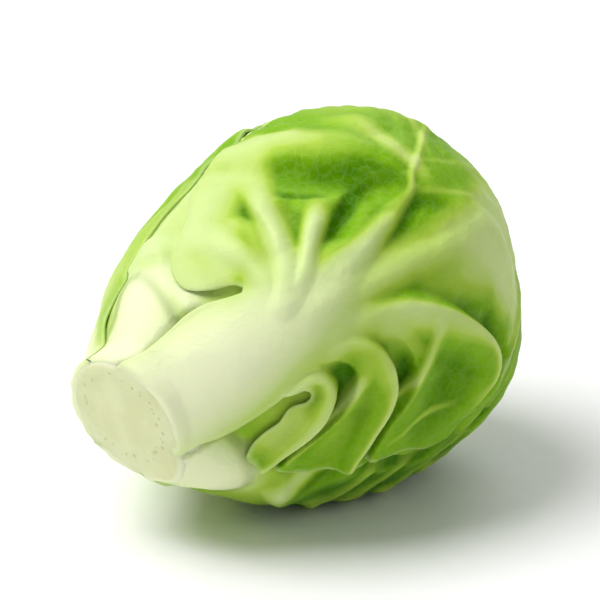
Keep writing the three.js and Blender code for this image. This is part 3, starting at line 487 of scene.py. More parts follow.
FRONT_IVORIES = strokes(
    [(-4.5, -88, 1, 18, 26), (-4, -70, 1, 15, 24), (-3.5, -60, 0.95, 14, 21), (-3, -51, 0.7, 11, 15),
     (-2, -42, 0.4, 9, 10), (0, -33, 0.15, 6)],
    # Painted light: a faint ivory wash that lightens the shaded side of the upper blade.
    [(-12, 4, 0.06, 8), (-14, 20, 0.17, 12), (-26, 28, 0.12, 11), (-38, 28, 0.05, 8)],
    edge=1)
# Painted shade, with some deeper green: the dark of the front leaf's hollows and valleys, such as the band
# under the blister near the tip.
FRONT_DEEPS_AND_SHADES = strokes(
    [(-28, -26, 0.1, 2, 3), (-31.5, -25.5, 0.5, 2.5, 3.5), (-35, -26, 0.8, 2.5, 3.2),
     (-39, -28.5, 0.85, 2.4), (-43.5, -32.7, 0.85, 2, 1.8), (-48, -37.5, 0.7, 1.6, 1.4),
     (-54, -42.5, 0.4, 1.3)],
    [(-20, -44, 0.4, 1.5, 3), (-26, -43.5, 0.9, 2, 4.5), (-31, -47.5, 0.9, 2, 3.5), (-36, -56, 0.7, 1.6, 2),
     (-37, -66, 0.4, 1.5)],
    [(44, -28, 0.15, 7), (38, -22, 0.35, 9), (31, -12, 0.6, 9), (25, -3.5, 1, 7), (19.5, 2, 0.7, 5),
     (14, 5, 0.3, 4)],
    [(36, -32.5, 0.3, 2.4), (30, -27.5, 0.6, 2.8), (24.5, -21.5, 0.5, 3)],
    [(13, -28, 0.45, 2.8), (16, -22.5, 0.9, 3.8), (19, -15.5, 1, 4.4), (22, -10, 0.7, 4.2)],
    [(8, -17, 0.15, 3), (12, -8, 0.2, 4)],
    [(1, -12, 0.3, 3.5), (5, -4, 0.5, 3.6), (8.5, 3, 0.8, 3.6), (5, 9, 0.5, 4.6), (-2, 9, 0.3, 6)],
    [(-33, 12.5, 0.25, 3), (-38, 11.5, 0.5, 3.4), (-44, 13.5, 0.5, 3.4), (-48, 14.5, 0.2, 3)],
    [(-39, -8, 0.3, 8), (-46, -8, 0.6, 11), (-54, -12, 0.6, 11), (-60, -22, 0.4, 9)],
    [(-36, -41, 0.15, 4), (-44, -47, 0.1, 5)],
    [(-17, -8, 0.12, 5), (-17, 6, 0.15, 7), (-22, 16, 0.1, 8)],
    [(30, -39.5, 0.3, 2.5), (34, -39.8, 0.55, 3.4), (39, -39, 0.2, 3)],
    [(22, -55, 0.15, 3), (26, -53.5, 0.3, 3.4), (29, -53, 0.1, 3)],
    [(14, -36, 0.1, 2.6), (22, -31, 0.25, 3.6)],
    [(-20, -42, 0.3, 3), (-24, -41, 0.7, 3.6), (-27.5, -43.5, 0.7, 3)],
    edge=1.3)
# Painted shade: near-black lines in the creases along the front leaf's folds.
FRONT_CREASE_SHADES = strokes(
    [(-27, -29, 0.1, 1, 1.4), (-32.4, -29.3, 0.35, 1.1, 1.6), (-37.8, -30.4, 0.75, 1.1, 1.7),
     (-42.3, -33.4, 0.95, 1.1, 1.6), (-46.3, -37.6, 1, 1, 1.4), (-50.4, -41.3, 0.8, 0.9, 1.2),
     (-55, -44.5, 0.5, 0.8, 1)],
    [(-24, -44.6, 0.1, 1, 1.5), (-28, -45.6, 0.5, 1.1, 1.6), (-31.2, -48.6, 0.85, 1, 1.4),
     (-33.3, -52.8, 0.95, 0.9, 1.2), (-34.9, -58, 0.95, 0.9, 1.1), (-36.3, -63.6, 0.85, 0.8, 1),
     (-37.2, -67, 0.5, 0.7, 0.8)],
    [(-20.5, -56.5, 0.2, 0.8), (-20.4, -62, 0.4, 0.8), (-19.6, -68, 0.4, 0.8), (-17, -74, 0.2, 0.8)])

FRONT_LEAF = dict(
    name="wrapper_leaf_front", round_=5, level=0, cell=0.62, sunk=1.1, outline=FRONT_OUTLINE,
    stalk=FRONT_STALK, midrib=FRONT_MIDRIB, ribs=FRONT_RIBS, lifts=FRONT_LIFTS, hollows=FRONT_HOLLOWS,
    cuts=FRONT_CUTS, pushes=FRONT_PUSHES, pales=FRONT_PALES, ivories=FRONT_IVORIES, deeps=FRONT_DEEPS_AND_SHADES,
    creases=FRONT_CREASE_SHADES)

# The common pattern: the right half of its outline, from the stalk to the tip, in degrees of the chart.
MARGIN = [
    (12, -80), (14, -75), (17.5, -71), (21.5, -68), (26, -65.5), (31, -62.5), (36.5, -58.5), (43.5, -52),
    (51, -43), (58, -31), (62.5, -17), (63.5, -3), (61.5, 9), (56.5, 20), (48.5, 29.5), (38, 37),
    (25.5, 42.5), (12, 45.8), (2, 46.5),
]


# Strokes that go with each side rib of the common pattern: what they are, how far up from it they lie, and
# rows of share of its length, height and width.
DIP = ((0.2, 0.1, 5), (0.5, 0.3, 5.5), (0.9, 0.2, 6))
BESIDE_RIB = (
    ("ribs", 0, ((0, 0.3, 4.4), (0.14, 0.42, 3.4), (0.35, 0.36, 2.6), (0.65, 0.2, 2.1), (1, 0.05, 1.8))),
    ("pales", 0, ((0, 0.5, 4.6), (0.14, 0.5, 3.4), (0.35, 0.42, 2.5), (0.65, 0.32, 2), (1.05, 0.12, 1.8))),
    ("lifts", 7.5, ((0.2, 0.1, 4), (0.4, 0.7, 6), (0.7, 1, 7.5), (1.1, 0.8, 8.5))),
    ("hollows", -1.5, DIP),
    # Painted shade, with some deeper green, in the dip beside each rib.
    ("deeps", -4.5, DIP),
)
VEIN_STARTS = (0.3, 0.48, 0.66, 0.84)


def pattern_leaf(name, round_, level, cell, seed, wide, reach, base, stalk_height, shift, fold_height,
                 lean=0, pallor=1, shade=0, youth=0, bulb=0, bulb_lean=0, sunk=0.7, extra=None):
    """A leaf that is a variation of the common pattern, set apart by its seed and its sizes. Its stalk is
    `shift` degrees and its midrib `lean` degrees to one side of its middle; a stalk that stops short is
    `bulb` degrees wide to either side."""
    def drift(y):
        return shift * float(fade(y, -40, -72)) + 3 * vary(seed, 1) * float(fade(y, -30, 40))

    def sway(y):
        return drift(y) + lean * float(fade(y, -60, -30))

    def middle(y):
        return drift(y) + bulb_lean * float(fade(y, -67, -57))

    def on_midrib(*rows):
        return [(sway(y), y, *rest) for y, *rest in rows]

    def on_bulb(height, *rows):
        return [(middle(y), y, h * height, w * bulb) for y, h, w in rows]

    def fit(point, side, i):
        x, y = point
        widened = x * (1 + (wide - 1) * float(fade(y, -60, -40))) + 2.4 * vary(seed, 10 + i + 30 * side)
        up = y * (base if y < -60 else 1) if y < 0 else y * reach
        waver = 1.6 * vary(seed, 90 + i + 30 * side) * float(fade(y, -50, -40))
        return (side * widened + drift(y), up + waver)

    left, right = ([fit(q, side, i) for i, q in enumerate(MARGIN)] for side in (-1, 1))
    end = 46 * reach - 4
    stalk = on_midrib(*((y, h * stalk_height, w) for y, h, w in (
        (-86, 1, 12), (-73, 1, 12), (-66, 0.92, 11.5), (-60, 0.6, 10), (-55, 0.25, 8), (-47, 0.05, 6))))
    midrib = on_midrib((-64, 0.1, 12), (-54, 0.5, 11), (-46, 0.7, 9.5), (-36, 0.65, 7.5), (-20, 0.5, 5.5),
                       (5, 0.35, 4.2), (end, 0.05, 3))
    found = dict(ribs=[], lifts=[], hollows=[], pales=[], ivories=[], deeps=[], creases=[])
    for side in (-1, 1):
        for i in range(5):
            start = -50 + i * 13 + 3 * vary(seed, 50 + i + 7 * side)
            run = (56 - 5 * abs(i - 1)) * wide
            rise = 14 + 10 * i * reach + 5 * vary(seed, 60 + i + 7 * side)
            bow = 5 * vary(seed, 120 + i + 7 * side)

            def at(t, height=0, width=0, up=0):
                y = start + rise * t ** 1.3 + (7 + bow) * t * (1 - t)
                y = y + 1.3 * math.sin(7 * t + 2 * i + seed) + up
                return (sway(start) + side * run * t, y, height, width)

            factors = dict(lifts=fold_height * (0.5 + 0.7 * abs(vary(seed, 70 + i + 7 * side))), deeps=1.2)
            for key, up, rows in BESIDE_RIB:
                found[key].append([at(t, h * factors.get(key, 1), w, up) for t, h, w in rows])
            for j, t in enumerate(VEIN_STARTS):
                x, y = at(t)[:2]
                up = 9 + 3 * vary(seed, 150 + i + 5 * j)
                found["pales"].append([(x, y, 0.2, 1.6), (x + side * (2.5 + j), y + up * 0.5, 0.18, 1.4),
                                       (x + side * (7 + j), y + up, 0, 1.3)])
    pale_midrib = on_midrib((-88, 1, 20), (-72, 1, 17), (-62, 0.95, 14), (-54, 0.8, 12), (-44, 0.7, 9),
                            (-30, 0.65, 7), (-10, 0.6, 5.5), (20, 0.5, 4.5), (end, 0.3, 4))
    found["pales"] = [[(x, y, v * (1 if y < -60 else pallor), w) for x, y, v, w in line]
                      for line in found["pales"] + [pale_midrib]]
    found["pales"].append([(-50, -40, 0.3, 12), (-30, -56, 0.4, 12), (0, -54, 0.3, 10), (30, -56, 0.4, 12),
                           (50, -40, 0.3, 12)])
    found["ivories"] = [
        on_midrib((-88, 1, 17), (-72, 1, 15), (-62, 0.8, 11), (-56, 0.35, 8), (-46, 0.1, 6))]
    if bulb:
        stalk = on_bulb(stalk_height, (-86, 1, 1), (-73, 1, 1), (-67, 0.95, 0.98), (-64, 0.85, 0.88),
                        (-61.5, 0.65, 0.72), (-59.5, 0.4, 0.52), (-58, 0.15, 0.32), (-57, 0, 0.2))
        midrib = [(x, y, 0.4 * h, 0.8 * w) for x, y, h, w in midrib if y > -60]
        # Painted shade: dark lines along both sides of the bulb, where it stands off the blade.
        for side in (-1, 1):
            found["creases"].append([(middle(y) + side * w * bulb, y, v, 1.7) for y, w, v in (
                (-76, 1, 0.05), (-71, 1.02, 0.2), (-66.5, 0.98, 0.4), (-62, 0.78, 0.42), (-59, 0.45, 0.34),
                (-58, 0, 0.2))])
        found["ivories"] = [on_bulb(1, (-88, 0.95, 1.4), (-70, 0.92, 1.15), (-64, 0.9, 1), (-60, 0.7, 0.8),
                                    (-57.5, 0.25, 0.6), (-55, 0, 0.5))]
        pale_bulb = on_bulb(1, (-88, 1, 1.5), (-70, 1, 1.3), (-64, 0.9, 1.15), (-60, 0.6, 1),
                            (-56, 0.3, 0.9), (-52, 0, 0.8))
        found["pales"] = [line if line[0][1] > -60 else pale_bulb for line in found["pales"]]
    if youth:
        found["pales"].append([(x, y, youth, w) for x, y, w in (
            (drift(-60), -62, 30), (0, -40, 45), (0, 0, 60), (0, 30, 60))])
    if shade:
        found["deeps"].append([(sway(-48), -50, 0.2 * shade, 16), (sway(-30), -34, shade, 26),
                               (sway(0), 0, shade, 34), (sway(30), 34, 0.6 * shade, 34)])
    for key, lines in (extra or {}).items():
        found[key].extend(lines)
    edges = dict(pales=1.3, ivories=1.0, deeps=1.3)
    return dict(name=name, round_=round_, level=level, cell=cell, stalk=stalk, midrib=midrib, sunk=sunk,
                outline=[(drift(-84), -84 * base)] + right + left[::-1],
                **{key: strokes(*lines, edge=edges.get(key, 2.0)) for key, lines in found.items()})


# Painted shade on the leaf below the front one: deep green and shade along its hollows, above its bulb and
# under the front leaf's margin, and a crease shade beside its lift.
BELOW_STALK = dict(
    lifts=[[(-9, -49, 0.1, 3), (-2, -48, 0.5, 3.2), (5, -45.5, 0.6, 3.2), (11, -42, 0.3, 3)]],
    hollows=[[(5, -32, 0.2, 3.5), (5.5, -25, 1.1, 4.5), (4.5, -18, 1.1, 4.5), (4, -11, 0.5, 4),
              (5, -5, 0.2, 3.5)],
             [(6, -1, 0.2, 3.5), (8, 8, 1, 4.5), (8.5, 14, 0.5, 4)]],
    pales=[[(-9, -49, 0.2, 3), (-2, -48, 0.5, 3), (5, -45.5, 0.6, 3), (11, -42, 0.4, 3)]],
    deeps=[[(5, -32, 0.3, 4), (5, -25, 0.8, 5), (4.5, -18, 0.8, 5), (5, -8, 0.5, 5), (8, 8, 0.8, 5),
            (9, 18, 0.4, 4)],
           [(-8, -55, 0.3, 3), (0, -53.5, 0.6, 3), (6, -51.5, 0.6, 2.6)],
           [(-10, -38, 0.6, 6), (-6, -28, 0.9, 8), (-6, -14, 0.7, 8)]],
    creases=[[(-8, -45.5, 0.2, 1.5), (-1, -43.6, 0.5, 1.6), (7, -40.5, 0.4, 1.5)]])
ABOVE_STALK = dict(
    hollows=[[(-15, -57, 0.2, 3), (-19, -59.5, 0.6, 4), (-24, -60.5, 0.9, 4.5), (-30, -60, 0.8, 5)]],
    pales=[[(-6, -55.5, 0.5, 3), (-12, -58, 0.8, 3.2), (-18, -61.5, 0.8, 3.5), (-22, -64, 0.5, 3)]],
    ivories=[[(-8, -57, 0.3, 2.5), (-12, -59, 0.6, 2.5), (-17, -62, 0.6, 2.5), (-20, -64, 0.3, 2.5)]])


def all_leaves():
    """Every leaf from the outermost one in, each with the CAD node that it stands for."""
    def wrapper(name, *values, **more):
        return pattern_leaf("wrapper_leaf_" + name, *values, base=1, stalk_height=3.8, **more)

    leaves = {
        "wrapper_leaf_1": FRONT_LEAF,
        "wrapper_leaf_2": wrapper("back", 149, 0.1, 1.0, 2, 1.02, 1.25, shift=-2.6, fold_height=0.8,
                                  youth=0.3),
        "wrapper_leaf_3": wrapper("below", -77, 0.45, 0.9, 5, 0.95, 1.3, shift=0.5, fold_height=0.7,
                                  lean=-16, pallor=0.5, shade=1, bulb=12, bulb_lean=-3, sunk=1.5,
                                  extra=BELOW_STALK),
        # Its youth, a paler green all over, is partly painted light: set high to lighten its strip, which
        # lies in shade.
        "wrapper_leaf_4": wrapper("above", 74, 0.4, 0.9, 7, 1.0, 1.4, shift=-5.5, fold_height=0.4,
                                  lean=12, pallor=0.6, youth=0.8, bulb=10.5, bulb_lean=5, sunk=0.5,
                                  extra=ABOVE_STALK),
        "wrapper_leaf_5": wrapper("under", -142, 0.6, 1.1, 11, 1.0, 1.2, shift=-2.8, fold_height=0.6),
    }
    for i, (round_, level) in enumerate([(41, 0.9), (185, 1.0), (-31, 1.15), (113, 1.2), (-103, 1.3)]):
        leaves[f"inner_leaf_{i + 1}"] = pattern_leaf(
            f"second_leaf_{i + 1}", round_, level, cell=1.6, seed=20 + i, wide=0.88,
            reach=1.75 + 0.15 * (i % 2), base=0.97, stalk_height=2.2, shift=0, fold_height=0.35)
    for i, (round_, level) in enumerate([(70, 1.7), (-60, 1.9), (-170, 2.0)]):
        leaves[f"crown_leaf_{i + 1}"] = pattern_leaf(
            f"closing_leaf_{i + 1}", round_, level, cell=1.6, seed=40 + i, wide=0.92, reach=2.15 + 0.08 * i,
            base=0.92, stalk_height=1.2, shift=0, fold_height=0.25)
    return [(Leaf(**values), node) for node, values in leaves.items()]


class Sprout:
    """The head and its leaves, and the surfaces that they settle to, one under another."""

    def __init__(self, sizes):
        self.head, self.leaves = Head(sizes), all_leaves()
        self.blade, self.gap = sizes.blade_thickness / MM, sizes.leaf_gap / MM
        self.cut = sizes.cut_distance / MM

    def surface(self, order, d):
        """The outer face of leaf number `order`, or of the heart after the last, and its thickness."""
        towards_floor = d @ FLOORWARD
        floor = np.where(towards_floor > 0.2, self.head.floor / np.maximum(towards_floor, 0.2), np.inf)
        stalks = fade(angle_from(STEMWARD, d), *STALK_ZONE)
        clearance, rise = (pair[0] * (1 - stalks) + pair[1] * stalks for pair in (CLEARANCE, RISE))
        ceiling = np.full(len(d), FAR)
        for i in range(order + 1):
            last = i == order
            outer, thick, edge = np.full(len(d), FAR), np.zeros(len(d)), np.full(len(d), -FAR)
            if i < len(self.leaves):
                leaf = self.leaves[i][0]
                near = np.ones(len(d), bool) if last else d @ leaf.middle > -0.2
                outer[near], thick[near], edge[near] = leaf.free(self.head, d[near], self.blade)
            else:
                outer = self.head.reach(d) - HEART_DEPTH
            outer = np.minimum(soft_min(outer, ceiling, BLEND), np.minimum(floor, ceiling))
            if last:
                return outer, thick
            clear = np.maximum(0, -edge - clearance)
            under = outer - thick - self.gap + rise * clear + CURL * clear ** 2
            if leaf.pushes:
                under = under - TUCK * np.clip(np.linalg.norm(leaf.push(leaf.chart(d)), axis=1), 0, 1)
            ceiling = np.where(edge > COVER_REACH, np.minimum(ceiling, under), ceiling)

    def collars(self, turn, depths):
        """How far out the stalks reach round the stem, at each depth below the cut."""
        down = np.linspace(40, 6, 86)
        d = direction(down[:, None], np.degrees(turn)[None, :]).reshape(-1, 3)
        reach = np.zeros(len(d))
        for order in range(WRAPPERS):
            leaf = self.leaves[order][0]
            inside = to_polygon(leaf.chart(d), leaf.polygon)[0] > 0
            reach[inside] = np.maximum(reach[inside], self.surface(order, d[inside])[0])
        points = (d * reach[:, None]).reshape(len(down), len(turn), 3)
        radius = np.linalg.norm(points[..., :2], axis=-1)
        rows = []
        for below in depths:
            over = points[..., 2] - self.cut_height(points[..., 1], below)
            row = np.full(len(turn), float(self.head.across(np.array(self.cut - below))) - 1.2)
            for k in range(len(turn)):
                past = np.nonzero((over[:, k] > 0) & (radius[:, k] > 0))[0]
                if len(past) and past[0] > 0 and radius[past[0] - 1, k] > 0:
                    i = past[0]
                    t = over[i - 1, k] / (over[i - 1, k] - over[i, k])
                    row[k] = radius[i - 1, k] * (1 - t) + radius[i, k] * t
            rows.append(row)
        return rows

    def cut_height(self, y, below):
        """How high a ring lies that is so far below the sloping cut; far below it lies level."""
        return self.cut - below + CUT_SLOPE * y * float(fade(below, *SLOPE_FADE))


# ------------------------------------------------------------------ meshes

def edges_of(triangles):
    return np.concatenate([triangles[:, [0, 1]], triangles[:, [1, 2]], triangles[:, [2, 0]]])


def border_of(triangles):
    """The edges that only one triangle has, as they run in it."""
    edges = edges_of(triangles)
    key = np.sort(edges, 1)
    key = key[:, 0].astype(np.int64) * (triangles.max() + 1) + key[:, 1]
    _, first, count = np.unique(key, return_index=True, return_counts=True)
    return edges[first[count == 1]]


def lattice(polygon, cell):
    """Chart points and triangles that fill a polygon evenly, with the border on the polygon."""
    rise = cell * math.sqrt(0.75)
    low, high = polygon.min(0) - cell, polygon.max(0) + 2 * cell
    columns, rows = int((high[0] - low[0]) / cell) + 2, int((high[1] - low[1]) / rise) + 2
    row, column = np.divmod(np.arange(rows * columns), columns)
    points = np.stack([low[0] + (column + (row % 2) / 2) * cell, low[1] + row * rise], -1)
    edge = to_polygon(points, polygon)[0]
    kept = edge > -0.3 * cell
    a = (np.arange(rows - 1)[:, None] * columns + np.arange(columns - 1)).ravel()
    c = a + columns
    odd = ((a // columns) % 2 == 1)[:, None]
    first = np.where(odd, np.stack([a, a + 1, c + 1], 1), np.stack([a, a + 1, c], 1))
    second = np.where(odd, np.stack([a, c + 1, c], 1), np.stack([a + 1, c + 1, c], 1))
    triangles = np.concatenate([first, second])
    triangles = triangles[kept[triangles].all(1)]
    triangles = triangles[edge[triangles].mean(1) > 0.05 * cell]
    for _ in range(8):
        border = border_of(triangles)
        count = np.bincount(border.ravel(), minlength=len(points))
        if (count > 2).any():
            triangles = triangles[~(count > 2)[triangles].any(1)]
            continue
        on_border = count > 0
        points[on_border] = to_polygon(points[on_border], polygon)[1]
        for _ in range(3):
            total, number = np.zeros_like(points), np.zeros(len(points))
            for i, j in ((0, 1), (1, 2), (2, 0), (1, 0), (2, 1), (0, 2)):
                np.add.at(total, triangles[:, i], points[triangles[:, j]])
                np.add.at(number, triangles[:, i], 1)
            free = ~on_border & (number > 0)
            points[free] = total[free] / number[free, None]
        p = points[triangles]
        good = np.cross(p[:, 1] - p[:, 0], p[:, 2] - p[:, 0]) / 2 > 0.04 * cell * cell
        triangles = triangles[good]
        if good.all():
            break
    used = np.unique(triangles)
    number = np.full(len(points), -1)
    number[used] = np.arange(len(used))
    return points[used], number[triangles]


def blurred(values, triangles):
    """Values at the points of a triangle net, evened out among neighbours."""
    a, b = np.unique(np.sort(edges_of(triangles), 1), axis=0).T
    number = np.bincount(np.concatenate([a, b]), minlength=len(values))
    for _ in range(BLUR_PASSES):
        total = np.bincount(a, values[b], len(values)) + np.bincount(b, values[a], len(values))
        values = 0.4 * values + 0.6 * total / number
    return values


def ring_faces(rings, spokes):
    """Rows of point numbers, ring by ring after the two poles (0 and 1), and the triangles over them."""
    at = 2 + np.arange(rings)[:, None] * spokes + np.arange(spokes)
    turned = np.roll(at, -1, 1)
    a, b, c, e = at[:-1], turned[:-1], at[1:], turned[1:]
    first, last = np.zeros(spokes, int), np.ones(spokes, int)
    return at, np.concatenate([
        np.stack([a, c, b], -1).reshape(-1, 3), np.stack([b, c, e], -1).reshape(-1, 3),
        np.stack([first, at[0], turned[0]], -1), np.stack([last, turned[-1], at[-1]], -1)])


def noise_at(points, scale, depth, offset=(0, 0, 0)):
    """Smooth noise at points of a plane."""
    offset = Vector(offset)
    return np.array([noise.noise(Vector((x * scale, y * scale, depth)) + offset) for x, y in points])


def add_object(name, data):
    piece = bpy.data.objects.new(name, data)
    bpy.context.scene.collection.objects.link(piece)
    return piece


def make_mesh(name, points, triangles, attributes=None, uv=None, material=None):
    """An object in the scene from arrays, smooth shaded, with float attributes at its points."""
    mesh = bpy.data.meshes.new(name)
    mesh.vertices.add(len(points))
    mesh.vertices.foreach_set("co", np.ascontiguousarray(points, np.float32).ravel())
    mesh.loops.add(triangles.size)
    mesh.loops.foreach_set("vertex_index", triangles.astype(np.int32).ravel())
    mesh.polygons.add(len(triangles))
    mesh.polygons.foreach_set("loop_start", np.arange(0, triangles.size, 3, dtype=np.int32))
    mesh.polygons.foreach_set("use_smooth", np.ones(len(triangles), bool))
    mesh.update(calc_edges=True)
    for key, values in (attributes or {}).items():
        layer = mesh.attributes.new(key, "FLOAT", "POINT")
        layer.data.foreach_set("value", np.ascontiguousarray(values, np.float32))
    if uv is not None:
        layer = mesh.uv_layers.new(name="chart")
        layer.data.foreach_set("uv", np.ascontiguousarray(uv[triangles.ravel()], np.float32).ravel())
    mesh.validate()
    if material:
        mesh.materials.append(material)
    return add_object(name, mesh)


def leaf_piece(sprout, order, material):
    """Builds one leaf as a thin shell and puts it in the place of its CAD node."""
    leaf, node = sprout.leaves[order]
    points, triangles = lattice(leaf.polygon, leaf.cell * COARSENESS)
    straight = leaf.directions(points)
    outer, thick = sprout.surface(order, straight)
    edge = to_polygon(points, leaf.polygon)[0]
    seed = (order * 3.7, order * 1.3, 0)
    dents = sum(height * noise_at(points, scale, depth, seed) for height, scale, depth in DENTS)
    outer = outer + off_floor(straight) * fade(points[:, 1], -62, -30) * dents - EDGE_DROP * fade(edge, 1, 0)
    inner = outer - thick
    cavity = outer - blurred(outer, triangles)
    d = leaf.directions(points + leaf.push(points))
    cap = (sprout.cut - CUT_MARGIN) / np.maximum(d[:, 2] - CUT_SLOPE * d[:, 1], 0.05)
    outer = np.minimum(soft_min(outer, cap, 1.0), cap)
    inner = np.minimum(inner, outer - CUT_MARGIN)
    n = len(points)
    a, b = border_of(triangles).T
    rim = np.concatenate([np.stack([a, b, b + n], 1), np.stack([a, b + n, a + n], 1)])
    pale, ivory, deep, crease = leaf.colours(points)
    # Painted light: where the skin stands out of its neighbours it is painted paler, a painted highlight,
    # and where it sinks, deeper green, a painted shade; the crease share is painted shade.
    looks = dict(ivory=ivory, pale=np.clip(pale + RELIEF_HIGHLIGHT * np.maximum(cavity, 0), 0, 1),
                 deep=np.clip(deep - RELIEF_SHADE * cavity, 0, 1), crease=crease, rim=fade(edge, 1.6, 0))
    looks = {key: np.tile(share, 2) for key, share in looks.items()}
    shell = np.concatenate([to_part(d * outer[:, None]), to_part(d * inner[:, None])])
    faces = np.concatenate([triangles[:, [0, 2, 1]], triangles + n, rim])
    piece = make_mesh(leaf.name, shell, faces, looks, np.tile(points / 100, (2, 1)), material)
    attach(piece, "root")
    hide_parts(node)


# ------------------------------------------------------------------ materials

def add_node(tree, kind, inputs=None, **settings):
    """Adds a node: its type, its inputs by name or number, each a value or a socket, and its settings."""
    node = tree.nodes.new(kind)
    for key, value in settings.items():
        setattr(node, key, value)
    for key, value in (inputs or {}).items():
        if isinstance(value, bpy.types.NodeSocket):
            tree.links.new(value, node.inputs[key])
        else:
            node.inputs[key].default_value = value
    return node


class Paint:
    """A material in the making, with a method for each kind of node that the materials here use."""

    def __init__(self, name):
        self.material = bpy.data.materials.new(name)
        self.material.use_nodes = True
        self.material.node_tree.nodes.clear()
        self.place = self.add("TexCoord").outputs["Object"]

    def add(self, kind, inputs=None, **settings):
        return add_node(self.material.node_tree, "ShaderNode" + kind, inputs, **settings)

    def share(self, key):
        return self.add("Attribute", attribute_name=key).outputs["Fac"]

    def noise(self, scale, detail):
        return self.add("TexNoise", {"Vector": self.place, "Scale": scale, "Detail": detail}).outputs[0]

    def cells(self, vector, scale, feature):
        node = self.add("TexVoronoi", {"Vector": vector, "Scale": scale}, feature=feature)
        return node.outputs["Distance"]

    def math(self, operation, *values, **settings):
        return self.add("Math", dict(enumerate(values)), operation=operation, **settings).outputs[0]

    def mix(self, factor, a, b):
        return self.add("Mix", {0: factor, 6: a, 7: b}, data_type="RGBA", clamp_factor=True).outputs[2]

    def ramp(self, value, low, high, start, end, shape="LINEAR"):
        """Maps low..high to start..end."""
        inputs = dict(enumerate((value, low, high, start, end)))
        return self.add("MapRange", inputs, interpolation_type=shape).outputs[0]

    def bump(self, height, strength, distance):
        return self.add("Bump", {"Strength": strength, "Distance": distance, "Height": height}).outputs[0]

    def finish(self, colour, roughness, more):
        skin = self.add("BsdfPrincipled", {"Base Color": colour, "Roughness": roughness, **more}).outputs[0]
        self.add("OutputMaterial", {"Surface": skin})
        return self.material


def leaf_material(name, colours, paleness):
    """Waxy leaf skin: deep green and painted shade in the hollows, painted shade in the creases, pale at the
    ribs, ivory at the stalk, with fine veins.
    """
    paint = Paint(name)
    ivory, pale, deep, rim, crease = map(paint.share, ("ivory", "pale", "deep", "rim", "crease"))
    uv = paint.add("UVMap", uv_map="chart").outputs[0]
    wander = paint.add("TexNoise", {"Vector": uv, "Scale": 22.0, "Detail": 2.0}).outputs["Color"]
    bent = paint.add("MixRGB", {"Fac": 0.045, "Color1": uv, "Color2": wander}, blend_type="ADD").outputs[0]
    coarse = paint.cells(bent, 17.0, "SMOOTH_F1")
    veins = paint.ramp(paint.cells(bent, 34.0, "DISTANCE_TO_EDGE"), 0.0, 0.18, 1.0, 0.0, "SMOOTHSTEP")
    grain = paint.noise(1400.0, 2.0)

    tone = paint.math("MULTIPLY_ADD", paint.noise(120.0, 3.0), 0.5, -0.31)
    tone = paint.math("MULTIPLY_ADD", paint.noise(420.0, 3.0), 0.24, tone)
    # The deep share, deep green together with painted shade, darkens the tone.
    tone = paint.math("ADD", deep, tone, use_clamp=True)
    green = paint.mix(tone, colours.blade, colours.deep)
    green = paint.mix(paleness, green, colours.young)
    green = paint.mix(paint.math("MULTIPLY", veins, 0.05), green, colours.pale)
    green = paint.mix(paint.ramp(pale, 0.0, 0.5, 0.0, 1.0), green, colours.young)
    green = paint.mix(paint.ramp(pale, 0.4, 1.0, 0.0, 1.0), green, colours.pale)
    green = paint.mix(ivory, green, colours.ivory)
    green = paint.mix(paint.math("MULTIPLY", rim, 0.5), green, colours.pale)
    # Painted shade in the creases: near-black green, or a dull olive on the stalks.
    shade = paint.mix(ivory, colours.crease, colours.pale_crease_shade)
    green = paint.mix(paint.math("MULTIPLY", crease, 0.9), green, shade)

    height = paint.math("MULTIPLY", veins, 0.35)
    height = paint.math("MULTIPLY_ADD", coarse, -0.6, height)
    height = paint.math("MULTIPLY_ADD", grain, 0.3, height)
    return paint.finish(green, paint.ramp(grain, 0.3, 0.7, 0.36, 0.48), {
        "Normal": paint.bump(height, 0.3, 0.00012), "Subsurface Weight": 0.25,
        "Subsurface Radius": (0.9, 1.0, 0.25), "Subsurface Scale": 0.0007,
        "Specular IOR Level": paint.ramp(deep, 0.0, 0.8, 0.16, 0.04),
        "Specular Tint": (0.9, 1.0, 0.25, 1.0)})


def stem_material(name, colours):
    """Moist cut stem: mottled in the cut face, ivory on the skin."""
    paint = Paint(name)
    mottle = paint.ramp(paint.noise(260.0, 4.0), 0.35, 0.95, 0.0, 1.0, "SMOOTHSTEP")
    colour = paint.mix(mottle, colours.cut, colours.ivory)
    colour = paint.mix(paint.share("skin"), colour, colours.ivory)
    return paint.finish(colour, 0.55, {
        "Normal": paint.bump(paint.noise(1600.0, 2.0), 0.5, 0.0002), "Subsurface Weight": 0.4,
        "Subsurface Radius": (1.0, 0.9, 0.5), "Subsurface Scale": 0.0015})


def speck_material(name, colours):
    paint = Paint(name)
    colour = paint.mix(paint.noise(900.0, 2.0), colours.speck, colours.dark_speck)
    return paint.finish(colour, 0.5, {"Subsurface Weight": 0.3, "Subsurface Scale": 0.0008})


def floor_material(name, colours):
    paint = Paint(name)
    colour = paint.mix(paint.noise(400.0, 2.0), colours.board, colours.board_grain)
    return paint.finish(colour, 0.8, {"Specular IOR Level": 0.2})


